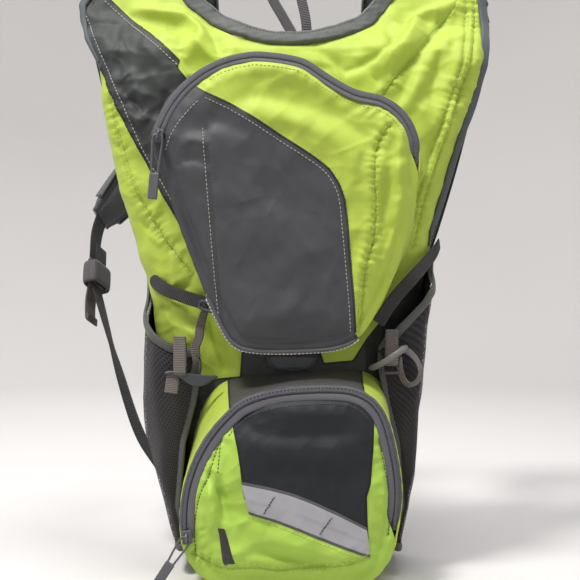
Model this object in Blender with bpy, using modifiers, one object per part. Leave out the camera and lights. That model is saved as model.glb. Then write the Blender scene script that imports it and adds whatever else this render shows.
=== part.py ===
"""A hydration pack for running and riding, built from separate sub-parts.

Units are metres with +Z up. The pack stands upright on its base with the pockets facing -Y and the
back panel facing +Y. Lengths below are written in millimetres and scaled by MM where they are used.
Outlines are lists of (x, z) points, and every y is measured in the pack frame: 0 lies between the
reservoir and the back panel. FRAME_X and FRAME_Y move the finished pack so that its box is centred on the
origin.
"""

import math

import bmesh
import bpy
from mathutils import Matrix, Vector

MM = 0.001
FRAME_X = 12.15
FRAME_Y = -60.05

# Clearances
GAP = 0.3
RUNNING_GAP = 0.4

# Main compartment
BACK_Y = 39.0
WALL = 3.0
SHELL_HALF_WIDTH = [(0, 84), (12, 93), (28, 98), (60, 105), (105, 109), (150, 112), (200, 115), (250, 121),
                    (290, 132), (330, 145), (365, 156), (405, 167), (445, 177), (490, 187)]
SHELL_DEPTH = [(0, 52), (20, 60), (60, 63), (380, 63), (430, 60), (462, 54), (478, 42), (490, 26)]
SHELL_TOP = [(0, 461.8), (32, 464.5), (62, 470), (75, 477.5), (88, 488), (96, 490), (190, 490)]
SHELL_ROUNDNESS = 0.42
BACK_PANEL_THICKNESS = 12.0
BACK_PAD_THICKNESS = 8.0

# Zipped pockets: the rim is the y of the front edge of the side wall, and each zip starts as a round arc
ZIP_WIDTH = 12.5
ZIP_THICKNESS = 2.2
TOP_RIM_Y = -62.0
TOP_ARC = {"centre": (-25, 354), "radius": 94, "start": 168, "end": 90}
TOP_OUTLINE_REST = [(0, 445), (16, 440), (34, 428), (56, 416), (80, 410), (98, 396), (108, 376), (109.5, 352),
                    (104, 316), (94, 277), (77, 237), (62, 212), (42, 199), (6, 195.5), (-30, 196), (-48, 202),
                    (-60, 221), (-76, 256), (-89, 290), (-101, 325)]
TOP_FOLD_Z = 352.0
LOWER_RIM_Y = -80.0
LOWER_ARC = {"centre": (30, 60), "radius": 121, "start": 190, "end": 126}
LOWER_OUTLINE_REST = [(-18, 166), (10, 169.5), (45, 169.5), (66, 162), (80, 145), (89, 112), (92.5, 80),
                      (89, 50), (82, 26), (66, 8), (40, 2), (0, 0.4), (-40, 2), (-68, 9), (-83, 24)]
LOWER_FOLD_Z = 27.0
POCKET_WALL = 3.0
FRONT_THICKNESS = 3.5
FRONT_CROWN = [(5, 3.0), (9, 3.0), (14, 2.5)]

# Webbing and straps
WEB = 10.0
STRAP_WEB = 20.0
WEB_THICKNESS = 1.3
STRAP_THICKNESS = 13.0
YOKE_PATH = [(141, 27, 491), (137, 32, 520), (127, 54, 551), (117, 90, 571), (110, 130, 567), (108, 164, 541),
             (109, 184, 502), (111, 191, 462)]
STRAP_PATH = {
    "left": YOKE_PATH + [(120, 192, 426), (146, 186, 391), (176, 169, 355), (200, 148, 322)],
    "right": YOKE_PATH + [(114, 192, 426), (120, 186, 391), (126, 169, 355), (131, 148, 322)],
}
STRAP_WIDTH = [91, 84, 74, 66, 62, 60, 58, 56, 54, 50, 44, 34]
STRAP_OUTWARD = [(0, -1, 0.15), (0, -1, 0.5), (0, -0.7, 1), (0, -0.2, 1), (0, 0.35, 1), (0, 0.8, 0.6),
                 (0, 1, 0.2), (0, 1, 0), (0.1, 1, 0), (0.35, 1, 0.1), (0.7, 0.9, 0.15), (1, 0.8, 0.2)]
LADDER = {"left": (197, 117, 266), "right": (131, 117, 266)}
STRAP_RUN = {
    "left": [(176, 84, 192), (148, 58, 118), (126, 47, 84), (111.5, 45.5, 70)],
    "right": [(125, 84, 192), (119, 60, 118), (115, 49, 84), (111.5, 45.5, 70)],
}

# Sternum strap
STERNUM_Z = 466.0
STERNUM_TRAVEL = 20.0
RAIL_X = 110.0
RAIL_Y = 205.5
RAIL_RADIUS = 2.0
BUCKLE_Y = RAIL_Y + 1.5
WEB_Y = BUCKLE_Y + 3.6

# Reservoir
BAG_HALF_WIDTH = 70.0
BAG_Z = (8.0, 352.0)
BAG_Y = (8.0, 35.0)
CAP_Z = 285.0
PORT_Z = 45.0

COLOURS = {
    "lime_fabric": ((0.52, 0.78, 0.03), 0.7, 0),
    "grey_fabric": ((0.045, 0.048, 0.052), 0.75, 0),
    "grey_tape": ((0.09, 0.09, 0.1), 0.8, 0),
    "mesh_fabric": ((0.12, 0.11, 0.12), 0.8, 0),
    "webbing": ((0.13, 0.12, 0.12), 0.75, 0),
    "foam_mesh": ((0.03, 0.032, 0.035), 0.9, 0),
    "reflective": ((0.62, 0.62, 0.65), 0.35, 0),
    "grey_plastic": ((0.06, 0.062, 0.068), 0.45, 0),
    "zip_pull": ((0.1, 0.1, 0.11), 0.5, 0),
    "bag_film": ((0.55, 0.72, 0.82), 0.2, 0),
    "blue_plastic": ((0.02, 0.16, 0.42), 0.4, 0),
}


# ---------------------------------------------------------------- scene and materials

for old in list(bpy.data.objects):
    bpy.data.objects.remove(old)

pack = bpy.data.collections.new("hydration_pack")
cutters = bpy.data.collections.new("cutters")
cutters.hide_render = True
bpy.context.scene.collection.children.link(pack)
bpy.context.scene.collection.children.link(cutters)

frame = bpy.data.objects.new("pack_frame", None)
frame.location = (FRAME_X * MM, FRAME_Y * MM, 0)
pack.objects.link(frame)


def material(name):
    """The Principled material for one entry of COLOURS, made on first use."""
    found = bpy.data.materials.get(name)
    if found:
        return found
    colour, roughness, metallic = COLOURS[name]
    made = bpy.data.materials.new(name)
    made.use_nodes = True
    shader = made.node_tree.nodes["Principled BSDF"]
    shader.inputs["Base Color"].default_value = (*colour, 1)
    shader.inputs["Roughness"].default_value = roughness
    shader.inputs["Metallic"].default_value = metallic
    return made


def place(obj, material_name, parent=frame):
    """Files a finished object in the pack, gives it its material and hangs it on the frame or on a joint."""
    for holder in list(obj.users_collection):
        holder.objects.unlink(obj)
    pack.objects.link(obj)
    obj.data.materials.clear()
    obj.data.materials.append(material(material_name))
    obj.parent = parent
    if parent is not frame:
        obj.matrix_parent_inverse = Matrix.Translation(-parent.location)
    return obj


def pivot(name, centre):
    """An empty on a joint's axis. The moving pieces of that joint hang on it."""
    made = bpy.data.objects.new(name, None)
    made.location = Vector(centre) * MM
    made.empty_display_size = 10 * MM
    pack.objects.link(made)
    made.parent = frame
    return made


def new_object(name, mesh_or_curve):
    made = bpy.data.objects.new(name, mesh_or_curve)
    bpy.context.scene.collection.objects.link(made)
    return made


# ---------------------------------------------------------------- outlines and paths


def between(table, at):
    """The value of a table of (position, value) pairs at a position, in straight lines between its entries."""
    if at <= table[0][0]:
        return table[0][1]
    for (a, low), (b, high) in zip(table, table[1:]):
        if at <= b:
            return low + (high - low) * (at - a) / (b - a)
    return table[-1][1]


def smooth(points, steps, closed=False):
    """A Catmull-Rom curve through the points, with that many samples to each span."""
    points = [Vector(p) for p in points]
    count = len(points)
    spans = count if closed else count - 1
    found = []
    for i in range(spans):
        if closed:
            a, b, c, d = (points[(i + k) % count] for k in (-1, 0, 1, 2))
        else:
            a, b, c, d = (points[min(max(i + k, 0), count - 1)] for k in (-1, 0, 1, 2))
        for step in range(steps):
            t = step / steps
            found.append(0.5 * (2 * b + (c - a) * t + (2 * a - 5 * b + 4 * c - d) * t**2
                                + (3 * b - 3 * c + d - a) * t**3))
    if not closed:
        found.append(points[-1])
    return found


def arc_points(arc, spacing=8):
    """Points along a zip's round arc, from its start angle down to its end angle."""
    count = max(2, round((arc["start"] - arc["end"]) / spacing))
    angles = [arc["start"] - (arc["start"] - arc["end"]) * i / count for i in range(count + 1)]
    return [on_arc(arc, angle) for angle in angles]


def on_arc(arc, angle, inwards=0.0):
    """The (x, z) point of an arc at an angle in degrees, moved towards its centre."""
    reach = arc["radius"] - inwards
    turned = math.radians(angle)
    return (arc["centre"][0] + reach * math.cos(turned), arc["centre"][1] + reach * math.sin(turned))


def pocket_outline(arc, rest):
    """A pocket's closed outline, clockwise from the start of its zip."""
    return smooth([Vector(p) for p in arc_points(arc) + rest], 2, closed=True)


def inset(loop, distance):
    """A clockwise outline moved inwards. Points that would fold over themselves are dropped."""
    count = len(loop)
    moved = []
    for i, point in enumerate(loop):
        along = (loop[(i + 1) % count] - loop[i - 1]).normalized()
        moved.append(point + Vector((along.y, -along.x)) * distance)
    return [m for m in moved if min((m - p).length for p in loop) > abs(distance) * 0.93]


def above(loop, z, keep_above=True):
    """The part of a closed outline above (or below) a height, closed with a straight edge."""
    sign = 1 if keep_above else -1
    count = len(loop)
    kept = []
    for i, point in enumerate(loop):
        following = loop[(i + 1) % count]
        if (point.y - z) * sign >= 0:
            kept.append(point)
        if (point.y - z) * (following.y - z) < 0:
            kept.append(point.lerp(following, (z - point.y) / (following.y - point.y)))
    return kept


# ---------------------------------------------------------------- shapes


def plate(name, loops, y_back, y_front):
    """A flat prism between two planes of constant y. A second loop is a hole."""
    curve = bpy.data.curves.new(name, "CURVE")
    curve.dimensions = "2D"
    curve.fill_mode = "BOTH"
    curve.extrude = abs(y_back - y_front) / 2 * MM
    for loop in loops:
        spline = curve.splines.new("POLY")
        spline.points.add(len(loop) - 1)
        for target, point in zip(spline.points, loop):
            target.co = (point[0] * MM, point[1] * MM, 0, 1)
        spline.use_cyclic_u = True
    made = new_object(name, curve)
    made.rotation_euler.x = math.pi / 2
    made.location.y = (y_back + y_front) / 2 * MM
    return made


def panel(name, loop, y_back, y_front, crown=()):
    """A sewn panel from one outline. Its front face swells forward in rings of (inset, rise)."""
    outward = math.copysign(1, y_front - y_back)
    middle = sum(loop, Vector((0, 0))) / len(loop)
    rings = [(loop, y_back), (loop, y_front)]
    for width, rise in crown:
        last, y = rings[-1]
        rings.append(([p + (middle - p).normalized() * width for p in last], y + rise * outward))
    form = bmesh.new()
    verts = [[form.verts.new((p.x * MM, y * MM, p.y * MM)) for p in ring] for ring, y in rings]
    form.faces.new(verts[0])
    form.faces.new(verts[-1])
    for near, far in zip(verts, verts[1:]):
        for i in range(len(loop)):
            form.faces.new((near[i - 1], near[i], far[i], far[i - 1]))
    bmesh.ops.recalc_face_normals(form, faces=form.faces[:])
    mesh = bpy.data.meshes.new(name)
    form.to_mesh(mesh)
    form.free()
    return new_object(name, mesh)


def tube(name, points, radius, resolution=1):
    """A round bar along a path."""
    curve = bpy.data.curves.new(name, "CURVE")
    curve.dimensions = "3D"
    curve.bevel_depth = radius * MM
    curve.bevel_resolution = resolution
    curve.use_fill_caps = True
    spline = curve.splines.new("POLY")
    spline.points.add(len(points) - 1)
    for target, point in zip(spline.points, points):
        target.co = (*(Vector(point) * MM), 1)
    return new_object(name, curve)


def sheet(name, place_at, columns, rows, thickness, offset=0.0):
    """A cloth surface from a grid whose points a function of (u, v) sets, given thickness by Solidify."""
    form = bmesh.new()
    bmesh.ops.create_grid(form, x_segments=columns, y_segments=rows, size=0.5)
    for vert in form.verts:
        vert.co = Vector(place_at(vert.co.x + 0.5, vert.co.y + 0.5)) * MM
    mesh = bpy.data.meshes.new(name)
    form.to_mesh(mesh)
    form.free()
    made = new_object(name, mesh)
    skin = made.modifiers.new("thickness", "SOLIDIFY")
    skin.thickness = thickness * MM
    skin.offset = offset
    return made


def ribbon(name, points, across, widths, thickness):
    """Webbing or a padded strap: a flat band along a path. across gives its width direction at each point."""
    rows = len(points) - 1

    def place_at(u, v):
        i = round(v * rows)
        return Vector(points[i]) + Vector(across[i]).normalized() * widths[i] * (u - 0.5)

    return sheet(name, place_at, 1, rows, thickness)


def webbing(name, points, across, width=WEB, thickness=WEB_THICKNESS, steps=3):
    """Webbing of one width on a smooth path, with one width direction all along."""
    path = smooth(points, steps)
    return ribbon(name, path, [across] * len(path), [width] * len(path), thickness)


def block(name, size, centre, bevel=0.0):
    """A moulded block with rounded edges."""
    bpy.ops.mesh.primitive_cube_add(size=1, location=Vector(centre) * MM)
    made = bpy.context.object
    made.name = name
    made.data.transform(Matrix.Diagonal((*(Vector(size) * MM), 1)))
    if bevel:
        rounding = made.modifiers.new("rounding", "BEVEL")
        rounding.width = bevel * MM
        rounding.segments = 2
    return made


def disc(name, radius, y_back, y_front, centre, sides=24):
    """A round piece whose axis is Y."""
    bpy.ops.mesh.primitive_cylinder_add(
        vertices=sides, radius=radius * MM, depth=abs(y_back - y_front) * MM,
        location=Vector((centre[0], (y_back + y_front) / 2, centre[1])) * MM,
        rotation=(math.pi / 2, 0, 0))
    made = bpy.context.object
    made.name = name
    return made


def as_mesh(obj):
    """The object as a closed mesh in place, with its modifiers applied and a curve's caps welded."""
    bpy.context.view_layer.update()
    graph = bpy.context.evaluated_depsgraph_get()
    mesh = bpy.data.meshes.new_from_object(obj.evaluated_get(graph))
    form = bmesh.new()
    form.from_mesh(mesh)
    bmesh.ops.remove_doubles(form, verts=form.verts[:], dist=1e-6)
    bmesh.ops.recalc_face_normals(form, faces=form.faces[:])
    form.to_mesh(mesh)
    form.free()
    name = obj.name
    matrix = obj.matrix_world.copy()
    bpy.data.objects.remove(obj)
    made = new_object(name, mesh)
    made.matrix_world = matrix
    return made


def combine(target, other, operation):
    """Cuts or joins two closed meshes. The other one becomes a hidden cutter."""
    cutter = as_mesh(other)
    for holder in list(cutter.users_collection):
        holder.objects.unlink(cutter)
    cutters.objects.link(cutter)
    cutter.hide_render = True
    cutter.display_type = "WIRE"
    made = as_mesh(target)
    step = made.modifiers.new(operation.lower(), "BOOLEAN")
    step.operation = operation
    step.object = cutter
    return as_mesh(made)


def turned(obj, matrix):
    """The object moved by a matrix in the pack frame, with its new place kept in its transform."""
    bpy.context.view_layer.update()
    obj.matrix_world = matrix @ obj.matrix_world
    return obj


def mirrored(point):
    return (-point[0], *point[1:])


def flip(points, side):
    """Points of the right-hand side, mirrored where side is -1."""
    return [Vector((p[0] * side, p[1], p[2])) for p in points]


SIDES = (("left", -1), ("right", 1))


# ---------------------------------------------------------------- main compartment


def shell_section(x_share, z):
    """A point of the shell's rounded U at a height. x_share runs from one back edge, 0, to the other, 1."""
    angle = math.pi * x_share
    width, depth = between(SHELL_HALF_WIDTH, z), between(SHELL_DEPTH, z)
    side = -math.copysign(abs(math.cos(angle)) ** SHELL_ROUNDNESS, math.cos(angle))
    return width * side, BACK_Y - depth * math.sin(angle) ** SHELL_ROUNDNESS


def shell_point(u, v):
    """The shell's outer face: up each column from the base to the neckline."""
    high = 480.0
    for _ in range(4):
        x = shell_section(u, high)[0]
        high = between(SHELL_TOP, abs(x))
    z = GAP + WALL + v * (high - GAP - WALL)
    x, y = shell_section(u, z)
    return x, y, z


def main_compartment():
    place(sheet("main_shell", shell_point, 36, 16, WALL, offset=-1), "lime_fabric")
    base = [(-80, -14), (-74, -20), (-60, -23), (60, -23), (74, -20), (80, -14), (84, 8), (84, 36), (-84, 36),
            (-84, 8)]
    bottom = plate("bottom_panel", [base], 0, WALL)
    bottom.rotation_euler.x = 0  # a plate stands up, and the base lies flat
    bottom.location = (0, 0, WALL / 2 * MM)
    place(bottom, "grey_fabric")
    half = [(0, 0.5), (60, 0.5), (82, 6), (95, 24), (104, 60), (110, 120), (115, 200), (126, 265), (140, 310),
            (155, 360), (168, 410), (178, 450), (184, 486), (98, 486), (84, 482), (70, 476), (50, 474)]
    outline = half + [mirrored(p) for p in reversed(half[1:])]
    y_front = BACK_Y + GAP
    place(panel("back_panel", [Vector(p) for p in outline], y_front, y_front + BACK_PANEL_THICKNESS), "foam_mesh")
    back_pads(y_front + BACK_PANEL_THICKNESS + GAP)


def back_pads(y_front):
    """Ventilated foam pads on the back panel, which rest on the wearer."""
    upper = [(-96, 322), (-62, 296), (0, 304), (62, 296), (96, 322), (104, 400), (88, 440), (34, 446), (0, 424),
             (-34, 446), (-88, 440), (-104, 400)]
    middle = [(-84, 178), (0, 170), (84, 178), (88, 231), (84, 284), (0, 290), (-84, 284), (-88, 231)]
    lumbar = [(-78, 52), (0, 44), (78, 52), (82, 107), (78, 162), (0, 168), (-78, 162), (-82, 107)]
    for name, outline in (("upper", upper), ("middle", middle), ("lumbar", lumbar)):
        loop = smooth(outline, 2, closed=True)
        place(panel(f"back_pad_{name}", loop, y_front, y_front + BACK_PAD_THICKNESS), "foam_mesh")


def neck_binding():
    """Folded tape along the neckline."""
    radius = 3.2
    neck = []
    for x in range(-93, 94, 6):
        z = between(SHELL_TOP, abs(x)) + radius + 2.5
        y = BACK_Y - between(SHELL_DEPTH, between(SHELL_TOP, abs(x)) - 4) * 0.93 - 1
        neck.append((x, y, z))
    place(tube("neck_binding", neck, radius), "grey_tape")


# ---------------------------------------------------------------- zipped pockets


def zip_band(outline, arc, end_x, y_back):
    """The zip tape: a band inside the rim, from the start of the arc to the far end of the zip."""
    first = min(range(len(outline)), key=lambda i: (outline[i] - Vector(on_arc(arc, arc["start"] - 2))).length)
    last = min(range(len(outline)), key=lambda i: (outline[i] - Vector(end_x)).length)
    run = outline[first : last + 1]
    outer, inner = [], []
    for i, point in enumerate(run):
        along = (run[min(i + 1, len(run) - 1)] - run[max(i - 1, 0)]).normalized()
        inwards = Vector((along.y, -along.x))
        outer.append(point + inwards * 0.6)
        inner.append(point + inwards * ZIP_WIDTH)
    return plate("zip", [outer + inner[::-1]], y_back, y_back - ZIP_THICKNESS)


def zip_slider(name, arc, rim_y):
    """A slider with its bridge, modelled pointing up at the origin and turned to the start of the arc."""
    base = block(name, (8.0, 3.0, 11.0), (0, -1.5, 0), bevel=0.8)
    bridge = tube("bridge", [(0, -2.0, -3.2), (0, -6.4, -3.0), (0, -7.7, -1.6), (0, -7.7, 1.6), (0, -6.4, 3.0),
                             (0, -2.0, 3.2)], 0.9)
    made = combine(base, bridge, "UNION")
    matrix = slider_matrix(arc, rim_y)
    return turned(made, matrix)


def slider_matrix(arc, rim_y):
    """Takes the slider's own axes (z along the zip, -y outwards) to the start of the arc."""
    x, z = on_arc(arc, arc["start"] - 3, inwards=ZIP_WIDTH / 2)
    y = rim_y - GAP - ZIP_THICKNESS - RUNNING_GAP
    tilt = math.radians(180 - arc["start"] + 3)
    return Matrix.Translation(Vector((x, y, z)) * MM) @ Matrix.Rotation(tilt, 4, "Y")


def zip_pull(name, arc, rim_y, lean, cord, tab):
    """A cord loop through the slider's bridge with a moulded grip. lean swings it in the plane of the zip."""
    loop = [(-2.4, 0, -cord - 6), (-2.8, 0, -cord + 2), (-4.0, 0, -9), (-4.0, 0, -3), (-3.2, 0, -0.9), (-1.8, 0, 0),
            (1.8, 0, 0), (3.2, 0, -0.9), (4.0, 0, -3), (4.0, 0, -9), (2.8, 0, -cord + 2), (2.4, 0, -cord - 6)]
    grip = block(name, (8.0, 3.4, tab), (0, 0, -cord - tab / 2), bevel=1.0)
    made = combine(grip, tube("cord", loop, 1.0), "UNION")
    return turned(made, pull_matrix(arc, rim_y, lean))


def pull_matrix(arc, rim_y, lean):
    """Takes the pull's own axes (hinge along x, hanging along -z) to its place under the bridge."""
    height = 3.0 + 1.9
    centre = slider_matrix(arc, rim_y) @ Vector((0, -height * MM, 0))
    return Matrix.Translation(centre) @ Matrix.Rotation(math.radians(lean), 4, "Y")


def top_pocket():
    outline = pocket_outline(TOP_ARC, TOP_OUTLINE_REST)
    wall = plate("top_pocket_gusset", [outline, inset(outline, POCKET_WALL)], -24 - GAP, TOP_RIM_Y)
    place(wall, "lime_fabric")
    y_back = TOP_RIM_Y - GAP
    lower_loop = above(inset(outline, 1.0), TOP_FOLD_Z - 1, keep_above=False)
    lower = panel("top_pocket_front", lower_loop, y_back, y_back - FRONT_THICKNESS, FRONT_CROWN)
    place(lower, "grey_fabric")
    band = zip_band(outline, TOP_ARC, (109.5, 352), y_back)
    band.name = "top_zip_tape"
    place(band, "grey_tape")

    fold = pivot("top_flap_pivot", (0, TOP_RIM_Y - 13.5, TOP_FOLD_Z))
    flap_loop = above(inset(outline, ZIP_WIDTH + 0.8), TOP_FOLD_Z + 0.6)
    flap = panel("top_pocket_flap", flap_loop, y_back, y_back - FRONT_THICKNESS, FRONT_CROWN)
    place(flap, "lime_fabric", fold)
    slider_pivot = pivot("top_zip_pivot", (TOP_ARC["centre"][0], TOP_RIM_Y, TOP_ARC["centre"][1]))
    place(zip_slider("top_zip_slider", TOP_ARC, TOP_RIM_Y), "zip_pull", slider_pivot)
    place(zip_pull("top_zip_pull", TOP_ARC, TOP_RIM_Y, lean=5, cord=32, tab=22), "zip_pull", slider_pivot)


def lower_pocket():
    outline = pocket_outline(LOWER_ARC, LOWER_OUTLINE_REST)
    wall = plate("lower_pocket_gusset", [outline, inset(outline, POCKET_WALL)], -24 - GAP, LOWER_RIM_Y)
    place(wall, "lime_fabric")
    y_back = LOWER_RIM_Y - GAP
    toe_loop = above(inset(outline, 1.0), LOWER_FOLD_Z - 1, keep_above=False)
    toe = panel("lower_pocket_toe", toe_loop, y_back, y_back - FRONT_THICKNESS, [(4, 3.0)])
    place(toe, "lime_fabric")
    band = zip_band(outline, LOWER_ARC, (89, 50), y_back)
    band.name = "lower_zip_tape"
    place(band, "grey_tape")

    fold = pivot("lower_flap_pivot", (0, LOWER_RIM_Y - 13.5, LOWER_FOLD_Z))
    flap_loop = above(inset(outline, ZIP_WIDTH + 0.8), LOWER_FOLD_Z + 0.6)
    flap = panel("lower_pocket_flap", flap_loop, y_back, y_back - FRONT_THICKNESS, FRONT_CROWN)
    place(flap, "grey_fabric", fold)
    front = y_back - FRONT_THICKNESS - sum(rise for _width, rise in FRONT_CROWN)
    band_loop = [Vector(p) for p in ((-37, 86), (-34, 68), (0, 61), (34, 49), (56, 38), (55, 56), (30, 67), (0, 79))]
    place(plate("reflective_band", [band_loop], front - GAP, front - GAP - 0.8), "reflective", fold)
    slider_pivot = pivot("lower_zip_pivot", (LOWER_ARC["centre"][0], LOWER_RIM_Y, LOWER_ARC["centre"][1]))
    place(zip_slider("lower_zip_slider", LOWER_ARC, LOWER_RIM_Y), "zip_pull", slider_pivot)
    pull = zip_pull("lower_zip_pull", LOWER_ARC, LOWER_RIM_Y, lean=33, cord=24, tab=20)
    place(pull, "zip_pull", slider_pivot)


# ---------------------------------------------------------------- mesh side pockets

MESH_OUTER = [(22, 1.5), (60, 5), (110, 12), (170, 16), (262, 14)]
MESH_FRONT_X = [(22, 88), (60, 98), (115, 93), (150, 86), (200, 76)]
MESH_TOP = {
    "left": [(0, 258), (0.2, 247), (0.36, 234), (0.5, 221), (0.66, 208), (0.78, 200), (1, 192)],
    "right": [(0, 279), (0.33, 262), (0.66, 242), (0.87, 207), (1, 197)],
}
BINDING_LIFT = [(0, 3.4), (0.4, 3.4), (0.6, 5.8)]


def mesh_point(side, u, v):
    """The mesh from the back edge, u 0, round the side to the lower pocket, u 1, and up from the base."""
    low = 22 + 4 * u
    z = low + v * (between(MESH_TOP[side], u) - low)
    width = between(SHELL_HALF_WIDTH, z)
    bulge = between(MESH_OUTER, z)
    back = Vector((width + 3.3, BACK_Y - 6, 0))
    middle = Vector((width + bulge, 6, 0))
    corner = Vector((width + bulge * 0.25 - 1.5, -31, 0))
    front = Vector((between(MESH_FRONT_X, z), -29 if z > 130 else -33, 0))
    point = smooth([back, middle, corner, front], 8)[round(u * 24)]
    return point.x, point.y, z


def mesh_pockets():
    for side, sign in SIDES:
        def place_at(u, v, side=side, sign=sign):
            x, y, z = mesh_point(side, u, v)
            return x * sign, y, z

        place(sheet(f"mesh_pocket_{side}", place_at, 12, 8, 1.2), "mesh_fabric")
        edge = []
        for i in range(13):
            x, y, z = place_at(i / 12, 1)
            edge.append((x, y, z + between(BINDING_LIFT, i / 12)))
        place(tube(f"mesh_binding_{side}", edge, 2.4), "grey_tape")


# ---------------------------------------------------------------- compression straps and hooks

COMPRESSION = {
    "left": [(-127, 22, 266), (-124.5, -4, 259), (-112, -26, 250), (-94, -35, 244), (-79, -40, 240)],
    "right": [(137.5, 20, 290), (128, -10, 280), (110, -34, 262), (95, -38, 246), (84, -40, 232)],
}
HOOK_BAR = {"left": (-94, -45, 178), "right": (87, -45, 186)}
HOOK_TOP = {"left": (-94, -47.6, 206), "right": (87, -47.6, 212)}


def hooks():
    for side, sign in SIDES:
        strap = webbing(f"compression_strap_{side}", COMPRESSION[side], (0.12 * sign, 0, 1))
        place(strap, "webbing")
        bar, top = HOOK_BAR[side], HOOK_TOP[side]
        wrap = [top, (bar[0], bar[1] - 2.9, bar[2] + 8)]
        for angle in range(180, 361, 30):
            turn = math.radians(angle)
            wrap.append((bar[0], bar[1] + 2.9 * math.cos(turn), bar[2] + 2.9 * math.sin(turn)))
        wrap.append((bar[0], bar[1] + 2.9, bar[2] + 9))
        loop = ribbon(f"hook_loop_{side}", wrap, [(1, 0, 0)] * len(wrap), [WEB] * len(wrap), 1.0)
        place(loop, "webbing")
        place(hook(f"strap_hook_{side}", bar, -sign), "grey_plastic", pivot(f"hook_pivot_{side}", bar))


def hook(name, bar, sign):
    """A flat open hook: a bar for the webbing, a slot below it, and a finger that catches the strap."""
    outline = [(-8.5, 1.5), (-8.5, -11.5), (8, -11.5), (27, -13.2), (31, -10.5), (31, -3.5), (28.6, -3.5),
               (28.2, -9.2), (12, -7.6), (12, -5.2), (25, -6.2), (25.5, -3.4), (10, -1.4), (8.5, 1.5)]
    slot = [(-6.2, -1.5), (6.2, -1.5), (6.2, -8.2), (-6.2, -8.2)]
    loops = [[(bar[0] + x * sign, bar[2] + z) for x, z in loop] for loop in (outline, slot)]
    return plate(name, loops, bar[1] + 1.4, bar[1] - 1.4)


# ---------------------------------------------------------------- shoulder straps


def strap_across(side):
    """The width direction at each point of a strap, as if on the right: square to its path and outward side."""
    path = [Vector(p) for p in STRAP_PATH[side]]
    found = []
    for i, outward in enumerate(STRAP_OUTWARD):
        along = path[min(i + 1, len(path) - 1)] - path[max(i - 1, 0)]
        across = along.cross(Vector(outward)).normalized()
        found.append(across if across.x > 0 or abs(across.x) < 0.3 else -across)
    return found


def shoulder_straps():
    for side, sign in SIDES:
        path = flip(smooth(STRAP_PATH[side], 2), sign)
        turn = flip(smooth([tuple(a) for a in strap_across(side)], 2), sign)
        width = [w.x for w in smooth([(w, 0, 0) for w in STRAP_WIDTH], 2)]
        strap = ribbon(f"shoulder_strap_{side}", path, turn, width, STRAP_THICKNESS)
        place(strap, "foam_mesh")
        strap_end(side, sign, turn[-1])


def strap_end(side, sign, across):
    """The webbing at the foot of a shoulder strap: its tab, the ladder lock and the strap down to the pack."""
    lock = flip([LADDER[side]], sign)[0]
    down = Vector((-0.05 * sign, -0.48, -0.87)).normalized()
    across = (across - down * across.dot(down)).normalized()
    out = down.cross(across).normalized()
    if out.y < 0:
        across, out = -across, -out
    top = lock - down * 55
    bar = lock - down * 8
    wrap = [top + out * 3.6, bar - down * 8 + out * 3.6]
    for angle in range(0, 181, 30):
        turn = math.radians(angle)
        wrap.append(bar + out * 3.6 * math.cos(turn) + down * 3.6 * math.sin(turn))
    wrap.append(bar - down * 14 - out * 3.6)
    place(ribbon(f"strap_tab_{side}", wrap, [across] * len(wrap), [STRAP_WEB] * len(wrap), 1.0), "webbing")

    turn_to = Matrix((across, -out, -down)).transposed().to_4x4()
    outline = [(-13.5, 10), (13.5, 10), (15, 8), (15, -13), (13, -15), (-13, -15), (-15, -13), (-15, 8)]
    upper = [(-11.2, 5.8), (11.2, 5.8), (11.2, 0.2), (-11.2, 0.2)]
    lower = [(-11.2, -3.0), (11.2, -3.0), (11.2, -8.5), (-11.2, -8.5)]
    lock_plate = plate(f"ladder_lock_{side}", [outline, upper, lower], 1.6, -1.6)
    hinge = pivot(f"ladder_pivot_{side}", bar)
    place(turned(lock_plate, Matrix.Translation(lock * MM) @ turn_to), "grey_plastic", hinge)
    tail = [lock + out * 3.2 - down * 1.0, lock + out * 3.4 + down * 14, lock + out * 6 + down * 34,
            lock + out * 5 + down * 58]
    place(webbing(f"webbing_tail_{side}", tail, across, STRAP_WEB, 1.2), "webbing", hinge)

    start = lock + down * 19
    run = [start, *flip(STRAP_RUN[side], sign)]
    spread = [Vector(across), Vector(across), Vector((0.2 * sign, 0.3, 1)), Vector((0.25 * sign, 0, 1)),
              Vector((0.3 * sign, 0, 1))]
    path = smooth(run, 3)
    turn = [v.normalized() for v in smooth([v if v.z > 0 else -v for v in spread], 3)]
    place(ribbon(f"strap_webbing_{side}", path, turn, [STRAP_WEB] * len(path), 1.2), "webbing")


# ---------------------------------------------------------------- sternum strap


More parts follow.
